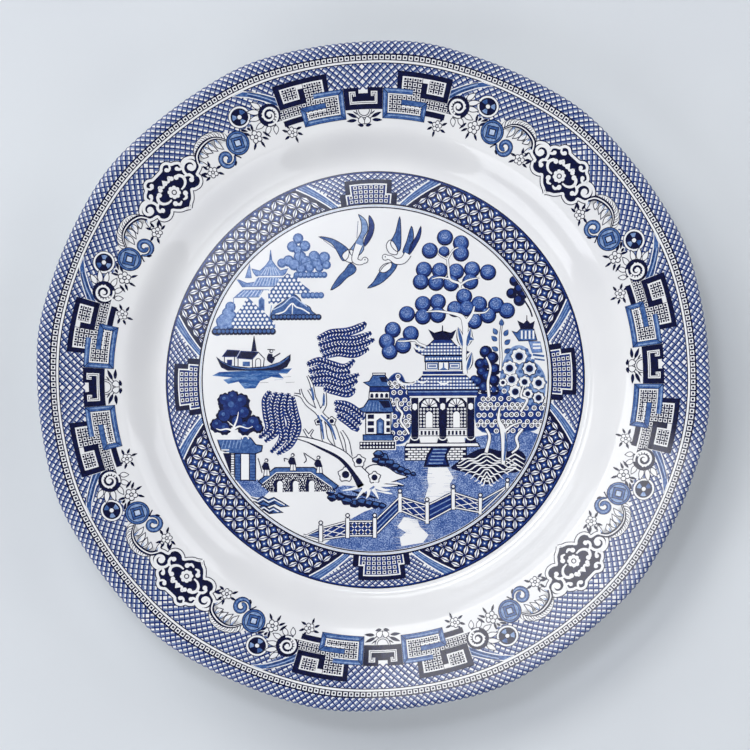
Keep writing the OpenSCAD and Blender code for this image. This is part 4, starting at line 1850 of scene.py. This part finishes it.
class Pavilion:
    """The great pavilion: horned cap, two chequered roofs, a window storey, columns, fan windows and steps."""

    def roofs(self) -> None:
        """Draws the cap, the roofs and the storey between them."""
        art = scene_sheet("landscape_pavilion_roofs")
        cap = [
            (22.7, 15.6), (30, 15.6), (31.6, 19.2), (29.4, 18), (27, 17.9), (26.2, 18.8), (25.4, 17.9), (23, 18),
            (20.6, 19.4),
        ]
        upper = [
            (23, 15.4), (29.4, 15.4), (31, 13.4), (33.4, 11.6), (36.4, 10.4), (34.8, 9.2), (18.8, 9.2), (16, 10.6),
            (15.2, 12.2), (15.6, 13.6), (18.2, 12.2), (20.8, 13.2),
        ]
        chequer(art, upper, 1.25, 2)
        art.ribbon(smooth([(15, 13.4), (16.2, 11.8), (19.2, 11.6)]), [1, 0.8, 0.4], WHITE, 5)
        art.ribbon([(26.2, 20.8), (26.2, 17.8)], [0.3, 1.3, 0.5, 0.6], NAVY, 4)
        art.patch(cap, NAVY, 4)
        art.shape([(19.3, 6.8), (19.3, 9), (33.8, 9), (33.8, 6.8)], BLUE, NAVY, 0.4, 3)
        for i in range(13):
            art.disc((20.1 + 1.1 * i, 7.9), 0.42, WHITE, 5, 8)
        art.shape([(19.6, 3.4), (19.6, 6.6), (33.6, 6.6), (33.6, 3.4)], WHITE, NAVY, 0.4, 3)
        for x0, x1 in ((20.2, 24.4), (28.8, 33)):
            art.box((x0, 3.9), (x1, 6.2), BLUE, 4)
            art.ribbon([(x0 + 0.5, 4.5), (x0 + 0.5, 5.5), (x1 - 0.5, 5.5), (x1 - 0.5, 4.5)], 0.35, WHITE, 5,
                closed=True)
        art.patch([(25, 3.5), (28.2, 3.5), (26.9, 4.4), (26.8, 6.3), (26.4, 6.3), (26.3, 4.4)], BLUE, 4)
        art.ribbon([(24.6, 3.6), (24.6, 6.4)], 0.4, NAVY, 4)
        art.ribbon([(28.6, 3.6), (28.6, 6.4)], 0.4, NAVY, 4)
        art.shape([(18.3, 1.6), (18.3, 3.2), (34.9, 3.2), (34.9, 1.6)], DEEP, WHITE, 0.4, 4)
        lower = [
            (18.6, 1.4), (35.2, 1.4), (37.4, -0.8), (39.6, -2.2), (40.2, -4.2), (12.6, -4.2), (9.4, -2.6), (8.8, 0.4),
            (11, -1.2), (14, -1.6), (16.6, -0.6),
        ]
        chequer(art, lower, 1.25, 2)
        art.ribbon(smooth([(8.6, 0.4), (9.6, -1.4), (12.6, -2), (15.8, -1.4)]), [1.1, 0.9, 0.7, 0.3], WHITE, 5)
        for x in (26.6, 18.4):
            art.ribbon(arc((x, 1), 3 if x > 20 else 2.4, 215, 325, 8), [0.2, 0.9, 0.2], WHITE, 5)
        art.shape([(12.6, -6.7), (12.6, -4.4), (40, -4.4), (40, -6.7)], DEEP, NAVY, 0.3, 4)
        art.ribbon([(12.8, -5), (39.8, -5)], 0.4, SOFT, 5.5)
        art.ribbon([(13.4, -6.9), (39.4, -6.9)], 0.5, WHITE, 5.5)
        lay_scene(art)

    def window(self, art: Sheet, x: float) -> None:
        """Draws one bay between two columns: fan light, pierced screen, doorway and low rail."""
        art.box((x - 4, -22.3), (x + 4, -7.4), NAVY, 3)
        for side in (-1, 1):
            art.patch([(x + side * 2.2, -7.5), (x + side * 4.1, -7.5), (x + side * 4.1, -9.4)], WHITE, 4)
        art.patch(arc((x, -10.8), 3.1, 0, 180, 14), WHITE, 4)
        for i in range(1, 6):
            spoke = math.radians(30 * i)
            art.ribbon([(x, -10.8), (x + 3.1 * math.cos(spoke), -10.8 + 3.1 * math.sin(spoke))], 0.3, NAVY, 5)
        art.disc((x, -10.8), 0.7, NAVY, 5.5, 10)
        for row in range(6):
            for column in range(6):
                if column in (0, 1, 4, 5) or row > 4:
                    art.disc((x - 3.25 + 1.3 * column, -18.3 + 1.3 * row), 0.46, WHITE, 4, 8)
                    art.disc((x - 3.25 + 1.3 * column, -18.3 + 1.3 * row), 0.17, NAVY, 5, 6)
        door = [(x - 1.3, -18.9), (x - 1.3, -14), *arc((x, -14), 1.3, 170, 10, 8), (x + 1.3, -14), (x + 1.3, -18.9)]
        art.patch(door, WHITE, 6)
        art.box((x - 3.9, -22), (x + 3.9, -19.2), WHITE, 6)
        for i in range(5):
            art.box((x - 3.3 + 1.45 * i, -21.8), (x - 2.5 + 1.45 * i, -20.2), NAVY, 7)
        art.ribbon([(x - 3.9, -19.7), (x + 3.9, -19.7)], 0.2, NAVY, 7)

    def front(self) -> None:
        """Draws the columns, the two bays, the platform, the brick base and the steps."""
        art = scene_sheet("landscape_pavilion_front")
        for x in (21, 31.6):
            self.window(art, x)
        for low, high in ((14.1, 16.8), (24.9, 27.6), (35.7, 38.5)):
            art.box((low, -22.6), (high, -7.3), NAVY, 5)
            middle = (low + high) / 2
            art.patch([(middle - 0.9, -9.9), (middle, -9.4), (middle + 0.9, -9.9), (middle + 0.9, -11.6),
                (middle, -12.2), (middle - 0.9, -11.6)], WHITE, 6)
            art.shape([(low - 0.8, -24.9), (low - 0.2, -22.8), (high + 0.2, -22.8), (high + 0.8, -24.9)], NAVY, NAVY,
                0.2, 5)
            art.ribbon(arc((middle, -22.1), 1.7, 200, 340, 8), 0.45, WHITE, 7)
        for x in (20.8, 31.4):
            art.patch([(x - 3.2, -22.3), (x + 3.2, -22.3), (x + 3.5, -25.2), (x - 3.5, -25.2)], WHITE, 5)
        art.shape([(12.4, -25), (11.6, -26.4), (40.6, -26.4), (39.8, -25)], WHITE, NAVY, 0.4, 6)
        art.box((11.4, -31.8), (35.6, -26.6), NAVY, 3)
        for row in range(5):
            for column in range(11):
                x = 11.8 + 2.15 * column + 1.05 * (row % 2)
                if x < 33.6:
                    art.box((x, -31.5 + 0.97 * row), (x + 1.8, -30.85 + 0.97 * row), WHITE, 4)
        steps = [(22.2, -26.8), (29, -26.8), (27.2, -29.8), (28.4, -33.8), (19.4, -33.8), (20.2, -30.4)]
        art.shape(steps, DEEP, NAVY, 0.9, 5)
        for i in range(5):
            shift = (20.6 - 22.4) * i / 4
            art.ribbon([(22.6 + shift, -27.4 - 1.35 * i), (27.8 + shift * 0.8, -27.4 - 1.35 * i)], 0.5, SOFT, 7)
        lay_scene(art)

    def build(self) -> None:
        """Draws the whole pavilion."""
        self.roofs()
        self.front()


class SidePagodas:
    """A small two-storeyed pagoda at the pavilion's left and a distant one at its right."""

    def left(self) -> None:
        """Draws the left pagoda from its roof to its pierced base."""
        art = scene_sheet("landscape_left_pagoda")
        art.shape([(-0.8, 1.6), (3.8, 1.6), (5.6, -1), (5.8, -2.9), (-1.8, -2.9), (-4.4, -1.2), (-2.2, -0.8)], BLUE,
            NAVY, 0.4, 2)
        art.shape([(-0.9, 1.6), (-0.9, 2.4), (4, 2.4), (4, 1.6)], WHITE, NAVY, 0.35, 2)
        art.patch([(1.6, 0.9), (4.2, 1), (4.8, -1.2), (2.6, -1)], NAVY, 3)
        art.shape([(-2, -3), (5.6, -3), (5.6, -4.8), (-2.2, -4.8)], DEEP, NAVY, 0.3, 2)
        art.shape([(-2.2, -4.9), (5.6, -4.9), (5.6, -7.6), (-2.4, -7.6)], WHITE, NAVY, 0.35, 2)
        for i in range(4):
            x = -1.8 + 1.9 * i
            art.patch([(x, -7.2), (x, -5.9), (x + 0.6, -5.4), (x + 1.2, -5.9), (x + 1.2, -7.2)], NAVY, 3)
        art.shape([(-2.6, -8), (5.8, -8), (7.4, -12.8), (-4.4, -12.8), (-6.6, -11.6), (-4.4, -10.8)], BLUE, NAVY, 0.4,
            2)
        art.patch([(1.4, -8.4), (5.4, -8.4), (6.2, -11), (3.4, -11.2)], NAVY, 3)
        for i in range(5):
            art.ribbon([(-3.8 + 1.4 * i, -12.4), (-2.6 + 1.1 * i, -9)], 0.25, SOFT, 4)
        art.shape([(-3.6, -13.2), (6.2, -13.2), (6.2, -21.4), (-3.6, -21.4)], WHITE, NAVY, 0.4, 2)
        for i in range(3):
            art.box((-2.8, -15.4 - 2.6 * i), (-0.4, -13.7 - 2.6 * i), NAVY, 4)
            art.box((4.4, -15.4 - 2.6 * i), (5.8, -13.7 - 2.6 * i), NAVY, 4)
        door = [(0.7, -21.2), (0.7, -16.2), (2, -15.2), (3.4, -16.2), (3.4, -21.2)]
        art.shape(door, BLUE, NAVY, 0.35, 4)
        art.box((1.4, -20.8), (2.6, -16.8), SOFT, 6)
        art.shape([(-4.6, -21.6), (7, -21.6), (7, -23.9), (-4.6, -23.9)], BLUE, NAVY, 0.4, 3)
        art.shape([(-6.2, -24.1), (8, -24.1), (8, -27.4), (-6.2, -27.4)], NAVY, WHITE, 0.35, 3)
        for i in range(11):
            for j in range(2):
                art.disc((-5.3 + 1.22 * i, -25 - 1.4 * j), 0.42, WHITE, 5, 6)
        lay_scene(art)

    def right(self) -> None:
        """Draws the distant pagoda near the ring."""
        art = scene_sheet("landscape_right_pagoda")
        art.patch([(56.4, 19.4), (61.4, 19.4), (62, 22.4), (60.2, 21.4), (59, 22.8), (57.6, 21.4), (55.2, 22.6)],
            NAVY, 2)
        art.ribbon([(58.9, 24.6), (58.9, 21.6)], [0.3, 1, 0.4], NAVY, 2)
        art.shape([(56.4, 19.2), (61.6, 19.2), (62.8, 14.8), (55.8, 14.6), (53.2, 18.4), (55, 17.8)], BLUE, NAVY,
            0.35, 2)
        for i in range(4):
            art.box((56.6 + 1.5 * i, 15.4), (57.3 + 1.5 * i, 18.6), WHITE, 3)
        art.shape([(59.6, 14.4), (64, 14.2), (64.8, 10.2), (61, 10)], DISTANT, BLUE, 0.3, 2)
        for y in (13.2, 11.8):
            art.box((61.2, y - 0.35), (64.2, y + 0.35), WHITE, 3)
        art.ribbon([(61.2, 9.2), (65.6, 8.6)], 0.8, BLUE, 2)
        art.ribbon([(61.8, 7.6), (65.8, 7)], 0.6, BLUE, 2)
        lay_scene(art)

    def build(self) -> None:
        """Draws both pagodas."""
        self.left()
        self.right()


@dataclass
class Garden:
    """The thicket at the pavilion's sides: ringed flowers, dark leaves, white stems and wavy roots."""

    ring_pitch: float = 2.5

    def thicket(self) -> None:
        """Draws the leafy ground with its small ringed flowers."""
        art = scene_sheet("landscape_ringed_trees")
        left = [
            (4.6, -1.4), (7.4, 2), (10.2, 1.8), (12.4, -3), (14.2, -8), (14.2, -16), (13.6, -22), (10.4, -25),
            (5.4, -24.6), (6.6, -18), (7.2, -12.8), (5.8, -6),
        ]
        right = [
            (39.2, -6), (43, -3), (50, -4.6), (56, -9.4), (62, -10.4), (65.6, -9.6), (64.8, -15), (62.6, -19.6),
            (59, -20.6), (54, -21.6), (47, -21.4), (39.6, -19),
        ]
        for outline in (left, right):
            art.shape(smooth(outline, closed=True, steps=3), DEEP, BLUE, 0.4, 1)
            for x, y in scatter((4, -25), (66, 2), self.ring_pitch, within(outline)):
                eyed(art, (x + 0.55 * math.sin(3 * x + 7 * y), y + 0.55 * math.sin(5 * x + 2 * y)), 1, 2)
        lay_scene(art)
        stems = scene_sheet("landscape_garden_stems")
        for points, widths in (
            ([(8.6, -8.4), (8.8, -11), (10.6, -13.4), (10, -16.4), (12.2, -19.6), (13.2, -21.4)],
            [0.5, 0.8, 0.8, 0.8, 0.8, 0.6]),
            ([(48.3, -11.6), (47.9, -16), (49.6, -20.2), (50, -27), (49.6, -33.4)], [0.5, 1.1, 2.2, 2, 1.2]),
            ([(56.6, -17), (53, -18.4), (50.2, -20.6)], [0.4, 0.7, 1]),
            ([(43, -19.4), (44.4, -22.8), (43, -28.8)], [0.8, 1, 1.2]),
            ([(57.2, -19.6), (54.8, -23), (55.4, -26.6), (53, -29)], [0.8, 1, 0.9, 0.6]),
            ([(48.6, 3), (48.9, 9), (48.6, 15.4), (49.1, 20.6)], [0.8, 0.6, 0.5, 0.3]),
            ([(43.2, 8.4), (44.8, 4.2), (43.8, -1.4), (44.2, -7)], [0.5, 0.8, 0.9, 1]),
            ([(57.6, -3), (56.6, -7), (59, -8.4), (56.4, -13)], [0.5, 0.8, 0.9, 0.8]),
        ):
            stem(stems, points, widths, 4, 0.5)
        stems.ribbon(smooth([(50.4, -21), (50.6, -26), (50, -32)]), [0.4, 1, 0.5], BLUE, 6)
        for x, y, turn in ((46.6, 18.4, 120), (50.9, 17.8, 60), (46.2, 15.6, 140), (51.4, 14.2, 40),
                (46.5, 11.6, 150), (51.4, 10.8, 35), (49.1, 21.8, 90)):
            tip = spot((x, y), 1.5, turn)
            root = spot((x, y), 1.5, turn + 180)
            stems.patch(leaf_outline(root, tip, 2), NAVY, 4)
            stems.patch(leaf_outline(root, tip, 1.45), BLUE, 5)
        lay_scene(stems)

    def flowers(self) -> None:
        """Draws the dark leaves and the large ringed flowers."""
        leaves = scene_sheet("landscape_dark_leaves")
        for x, y, r in ((54.2, 38, 2.1), (56.2, 34.8, 2.4), (53, 33.2, 2.1), (56, 30.4, 2.3), (57.8, 32.6, 1.6)):
            leaves.disc((x, y), r, NAVY, 2, 14)
            leaves.disc((x - 0.4, y + 0.5), r * 0.5, DEEP, 3, 10)
        leaves.ribbon(smooth([(57.6, 31), (60, 27), (61, 24)]), 0.6, NAVY, 2)
        for x, y, r in ((43, 10.4, 2.5), (45.6, 8.2, 2.4), (41, 5.6, 2.4), (41.6, 2.6, 2.3), (46.4, 3.6, 2.4),
                (40, -1.2, 2.3), (46.2, -0.8, 2.3), (42.4, -3.4, 2.6), (46.2, -4.6, 2), (38.6, -0.4, 1.8),
                (43.6, 6.2, 2.4), (43.8, 0.8, 2.8)):
            leaves.disc((x, y), r, NAVY, 2, 14)
            leaves.disc((x - 0.3, y + 0.4), r * 0.6, DEEP, 3, 12)
            leaves.disc((x - 0.5, y + 0.6), r * 0.25, BLUE, 3.5, 8)
        lay_scene(leaves)
        art = scene_sheet("landscape_large_flowers")
        ground = smooth([(49.6, 6.4), (52.2, 11.4), (55.9, 13), (59.4, 11.2), (60.6, 7.4), (63.6, 5), (66, 0.6),
            (66, -5.6), (64.8, -10.6), (61.4, -12.6), (56.4, -11), (51.6, -8.2), (47.8, -4.6), (48.6, 1.2)],
            closed=True, steps=3)
        art.patch(ground, SOFT, 1)
        for x, y in scatter((48, -12), (66, 12), 2.4, within(ground)):
            art.disc((x, y), 0.8, BLUE, 1.6, 8)
        for x, y, r in ((55.9, 8.6, 2.9), (52.2, 4, 2.7), (59.9, 3.8, 2.7), (53, -0.4, 2.6), (63.4, -1.8, 2.5),
                (58, -1.4, 2.2), (63.4, -7.6, 2.3), (54.4, -5.2, 2.5), (59.2, -6, 1.9), (49.6, -1.6, 1.5)):
            petals = wavy((x, y), r, 8, 0.09, 32, math.pi / 2)
            art.ribbon(petals, 0.4, NAVY, 3, closed=True)
            art.patch(petals, WHITE, 3)
            art.disc((x, y), r * 0.7, BLUE, 4, 14)
            art.ring((x, y), r * 0.62, 0.3, WHITE, 5, 14)
            art.disc((x, y), r * 0.46, NAVY, 5, 12)
        lay_scene(art)

    def roots(self) -> None:
        """Draws the spreading roots as wavy white lines on navy."""
        art = scene_sheet("landscape_wavy_roots")
        ground = [
            (29.4, -34.6), (33.6, -31.2), (38.4, -28.2), (43, -27), (50, -28.4), (55.6, -27.8), (58.4, -30.6),
            (57.4, -34.4), (54.6, -36.6), (50.4, -36.8), (47.2, -39.6), (43.4, -41.2), (40.2, -39.4), (36.6, -37),
            (32.4, -35.8),
        ]
        art.patch(smooth(ground, closed=True, steps=3), NAVY, 2)
        for row in range(9):
            for side in (-1, 1):
                reach = (11, 11.6, 11.4, 10.2, 8.4, 6.4, 4.8, 3.4, 2.2)[row]
                line = [
                    (43.3 + side * t * reach, -29.4 - 1.22 * row - 3 * t + 0.5 * math.sin(11 * t + 1.3 * row))
                    for t in (i / 9 for i in range(10))
                ]
                art.ribbon(smooth(line, steps=2), [0.42, 0.5, 0.3], WHITE, 3)
        for row in range(4):
            for side in (-1, 1):
                line = [(54.2 + side * 3.6 * t, -29.4 - 1.8 * row - 2.2 * t) for t in (0, 0.3, 0.6, 1)]
                art.ribbon(line, [0.6, 0.3], WHITE, 3)
        lay_scene(art)

    def build(self) -> None:
        """Draws the whole thicket."""
        self.thicket()
        self.flowers()
        self.roots()


@dataclass
class NearGround:
    """The stippled ground at the lower right, its pale paths, the rocky bank and the pond."""

    edge_r: float = 66.8

    def build(self) -> None:
        """Draws the ground."""
        art = scene_sheet("landscape_stippled_ground")
        rim = arc((0, 0), self.edge_r, -19, -107, 44)
        ground = [
            (1, -28.4), (4, -26), (11, -26), (40, -22.4), (52, -20.6), (59.5, -20.4), *rim, (-14, -59.6),
            (-9.6, -54.4), (-4, -51.4), (1.4, -49.6), (-2.6, -47.4), (-9, -46.8), (-17.4, -45), (-17.4, -42.8),
            (-12.4, -41.2), (-5, -41.8), (1.6, -38), (3, -34),
        ]
        art.patch(ground, STIPPLE, 0)
        lay_scene(art)
        light = scene_sheet("landscape_pale_paths")
        paths = (
            [(20.6, -34.4), (28, -34.4), (29.2, -36.4), (30.4, -38.6), (29, -41), (29.4, -44), (26.2, -45.4),
            (23.6, -48.2), (19, -47.4), (20, -44), (20.8, -41.4), (20.2, -38.6)],
            [(11.2, -53.6), (16.4, -54.8), (17.4, -57.4), (20.8, -60.6), (18.6, -63.6), (10.2, -65), (9.6, -61.6),
            (12, -59.6), (8.6, -57.4)],
        )
        random.seed(3)
        for outline in paths:
            light.patch(outline, WHITE, 1)
            for x0, y0 in smooth(outline, closed=True, steps=4):
                for ink in (WHITE, STIPPLE, WHITE):
                    x, y = x0 + random.uniform(-1.3, 1.3), y0 + random.uniform(-0.9, 0.9)
                    half = random.uniform(0.8, 2.3)
                    light.ribbon([(x - half, y), (x + half, y)], [0.05, 0.46, 0.05], ink, 1.5)
        pond = smooth([(-4, -35.4), (-0.6, -33.2), (4.4, -34), (8.4, -36.6), (12.6, -38), (9, -39.2), (3, -41),
            (-2.2, -39.2)], closed=True, steps=3)
        light.shape(pond, WHITE, NAVY, 0.45, 2)
        lay_scene(light)
        rocks = scene_sheet("landscape_rocky_bank")
        for i, (x, y, r) in enumerate((
            (-17.2, -43.8, 1.4), (-16.4, -45.8, 1.7), (-13.4, -45.6, 1.6), (-10.8, -47.2, 1.9), (-8, -48.4, 1.6),
            (-5.4, -47.8, 1.8), (-2.6, -48.4, 1.6), (0.2, -48.8, 1.5), (2.8, -49.2, 1.2), (1.4, -29.2, 1.7),
            (3.4, -30.4, 1.6), (2.4, -32.4, 1.5), (5.6, -32.6, 1.6), (7.8, -34, 1.5), (10, -35.2, 1.4),
            (12.4, -36.2, 1.2), (14.8, -36.9, 0.8), (0.2, -31.4, 1.2),
        )):
            lump = [
                (x + r * (1.1 + 0.12 * math.sin(4 * a + i)) * math.cos(a),
                y + r * (0.85 + 0.12 * math.sin(3 * a + i)) * math.sin(a))
                for a in (math.radians(24 * k) for k in range(15))
            ]
            rocks.shape(lump, BLUE, NAVY, 0.45, 2)
            rocks.patch(moved(lump[7:15], (0.15 * r, -0.1)), NAVY, 3)
        for points in ([(-14, -44.4), (-9.6, -45.8), (-5.6, -45.4)], [(4, -41.8), (8, -41.2), (11.4, -41.6)],
                [(-8.8, -43.4), (-4.4, -44.8), (1.2, -46.4)]):
            rocks.ribbon(smooth(points), [0.3, 1.4, 0.3], NAVY, 2.5)
        for points in ([(4.6, -40.4), (8.2, -40.4), (11, -41.2)], [(0.4, -43.4), (4.6, -44.2), (6.8, -44.6)]):
            rocks.ribbon(smooth(points), [0.3, 0.8, 0.2], WHITE, 4)
        lay_scene(rocks)


@dataclass
class Fence:
    """The zigzag fence: white posts with finials, lattice and railed panels between."""

    posts: tuple[tuple[float, float, float], ...] = (
        (-21, -56.4, -63.2), (-10.6, -53.6, -61.8), (-0.1, -53.6, -61.8), (9.7, -44.2, -52), (20.2, -47.6, -56.4),
        (30.3, -42.6, -51), (40.8, -46, -53), (51.3, -40.2, -43),
    )
    kinds: str = "rcxrcrcr"

    def panel(self, art: Sheet, a: tuple[float, float, float], b: tuple[float, float, float], kind: str) -> None:
        """Draws one panel between two posts.

        Args:
            art: the sheet to draw on.
            a: the left post as x, top and foot.
            b: the right post.
            kind: r for rails, c for crossed laths, x for a square lattice.
        """
        top = [(a[0], a[1] - 1.6), (b[0], b[1] - 1.6)]
        foot = [(a[0], a[2] + 1), (b[0], b[2] + 1)]
        at = lambda s, h: (  # noqa: E731
            a[0] + (b[0] - a[0]) * s,
            (foot[0][1] + (foot[1][1] - foot[0][1]) * s) * (1 - h) + (top[0][1] + (top[1][1] - top[0][1]) * s) * h,
        )
        art.patch([foot[0], foot[1], top[1], top[0]], DEEP, 2)
        if kind == "r":
            for h in (0.3, 0.66):
                art.ribbon([at(0, h), at(1, h)], 0.38, SOFT, 3)
        elif kind == "c":
            for s, t in (((0, 0.05), (1, 0.95)), ((0, 0.95), (1, 0.05)), ((0, 0.5), (0.5, 0.95)),
                    ((0.5, 0.95), (1, 0.5)), ((0, 0.5), (0.5, 0.05)), ((0.5, 0.05), (1, 0.5))):
                art.ribbon([at(*s), at(*t)], 0.3, WHITE, 4)
        else:
            for i in range(4):
                for j in range(2):
                    low, high = at(i / 4 + 0.03, j / 2 + 0.06), at(i / 4 + 0.22, j / 2 + 0.44)
                    art.ribbon([low, high], 0.4, WHITE, 4)
                    art.ribbon([(low[0], high[1]), (high[0], low[1])], 0.4, WHITE, 4)
                    art.disc(((low[0] + high[0]) / 2, (low[1] + high[1]) / 2), 0.5, NAVY, 5, 8)
        for line in (top, foot):
            art.ribbon(line, 1, NAVY, 5)
            art.ribbon(line, 0.42, WHITE, 6)

    def build(self) -> None:
        """Draws the panels and then the posts."""
        art = scene_sheet("landscape_fence")
        for a, b, kind in zip(self.posts, self.posts[1:], self.kinds[1:]):
            self.panel(art, a, b, kind)
        self.panel(art, (-27.8, -60.2, -61.4), self.posts[0], "r")
        for x, top, foot in self.posts:
            art.box((x - 0.95, foot), (x + 0.95, top - 0.2), NAVY, 6)
            art.box((x - 0.6, foot + 0.2), (x + 0.6, top - 0.4), WHITE, 7)
            art.disc((x, top + 0.7), 0.95, NAVY, 6, 10)
            art.disc((x, top + 0.7), 0.55, WHITE, 7, 8)
        lay_scene(art)


# ---------------------------------------------------------------- floor, lights and camera


@dataclass
class Studio:
    """A pale floor, soft light from the upper left and a camera almost straight above."""

    floor_hex: str = "#dde1e4"
    camera_far: float = 3.0
    tilt: float = 7.0
    tilt_towards: float = -62.0
    view_width: float = 0.2889
    aim: tuple[float, float, float] = (0.0010, -0.0002, 0.0235)
    sensor: float = 36.0

    def floor(self) -> None:
        """Lays the floor that the plate stands on."""
        material, tree, place = new_material("pale_honed_stone")
        cloud = add_node(tree, "ShaderNodeTexNoise", {"Vector": place, "Scale": 9.0, "Detail": 3.0})
        colour = ramp(tree, cloud.outputs["Fac"], [(0.3, "#d6dade"), (0.7, self.floor_hex)])
        shader = add_node(tree, "ShaderNodeBsdfPrincipled", {"Base Color": colour, "Roughness": 0.5})
        add_node(tree, "ShaderNodeOutputMaterial", {"Surface": shader.outputs["BSDF"]})
        bm = bmesh.new()
        bmesh.ops.create_grid(bm, x_segments=1, y_segments=1, size=3.0)
        bmesh.ops.translate(bm, verts=bm.verts, vec=(0, 0, -0.0002))
        mesh = bpy.data.meshes.new("floor")
        bm.to_mesh(mesh)
        bm.free()
        mesh.materials.append(material)
        floor = bpy.data.objects.new("floor", mesh)
        bpy.context.scene.collection.objects.link(floor)

    def lamp(
        self, name: str, place: tuple[float, float, float], size: tuple[float, float], watts: float, tint: str
    ) -> None:
        """Adds a rectangular soft lamp that faces the plate.

        Args:
            name: the lamp's name.
            place: its middle, in metres.
            size: its width and height, in metres.
            watts: its power.
            tint: its colour.
        """
        data = bpy.data.lights.new(name, "AREA")
        data.shape = "RECTANGLE"
        data.size, data.size_y = size
        data.energy = watts
        data.color = linear(tint)[:3]
        lamp = bpy.data.objects.new(name, data)
        lamp.location = place
        lamp.rotation_euler = Vector((-place[0], -place[1], -place[2])).to_track_quat("-Z", "Y").to_euler()
        bpy.context.scene.collection.objects.link(lamp)

    def lights(self) -> None:
        """Sets the window-like key lamp, four low fills that the rim doesn't mirror, and an even sky."""
        self.lamp("key_window", (-1.03, 1.23, 1.9), (2.3, 0.9), 23.0, "#ffffff")
        for i, watts in enumerate((13.5, 10.5, 19.0, 12.0)):
            turn = math.radians(40 + 90 * i)
            place = (1.95 * math.cos(turn), 1.95 * math.sin(turn), 1.15)
            self.lamp(f"fill_{i + 1}", place, (1.4, 1.4), watts, "#f8faff")
        for i in range(5):
            place = spot((-0.172, 0.323), 0.42 + 0.022 * i, 132)
            self.lamp(f"ceiling_glow_{i + 1}", (*place, 2.98), (0.6, 0.6), 2.2, "#eef4ff")
        world = bpy.data.worlds.new("even_sky")
        world.use_nodes = True
        sky = world.node_tree.nodes["Background"]
        sky.inputs["Color"].default_value = linear("#f3f5f8")
        sky.inputs["Strength"].default_value = 0.2
        bpy.context.scene.world = world
        bpy.context.scene.view_settings.view_transform = "Standard"

    def camera(self) -> None:
        """Points the camera at the plate from nearly straight above."""
        data = bpy.data.cameras.new("camera")
        data.sensor_width = self.sensor
        data.lens = self.sensor * self.camera_far / self.view_width
        data.clip_end = 50.0
        aim = Vector(self.aim)
        tilt, towards = math.radians(self.tilt), math.radians(self.tilt_towards)
        out = Vector((math.sin(tilt) * math.cos(towards), math.sin(tilt) * math.sin(towards), math.cos(tilt)))
        back = out.normalized()
        right = Vector((0, 1, 0)).cross(back).normalized()
        up = back.cross(right)
        turn = Matrix((right, up, back)).transposed()
        camera = bpy.data.objects.new("camera", data)
        camera.matrix_world = Matrix.Translation(aim + back * self.camera_far) @ turn.to_4x4()
        bpy.context.scene.collection.objects.link(camera)
        bpy.context.scene.camera = camera

    def build(self) -> None:
        """Sets the whole stage."""
        self.floor()
        self.lights()
        self.camera()


def main() -> None:
    """Builds the plate, its prints and the stage."""
    logging.basicConfig(level=logging.INFO, format="%(message)s")
    for part in PARTS:
        LOG.info("building %s", type(part).__name__)
        part.build()
    bpy.context.view_layer.update()


PARTS = (
    Studio(), PlateBody(), BorderGround(), KeyFret(), RimOrnaments(), Cartouche(), RingBand(), Birds(), FarShore(),
    Boat(), Willow(), BridgeSide(), FruitTree(), Pavilion(), SidePagodas(), Garden(), NearGround(), Fence(),
)

if __name__ == "__main__":
    main()
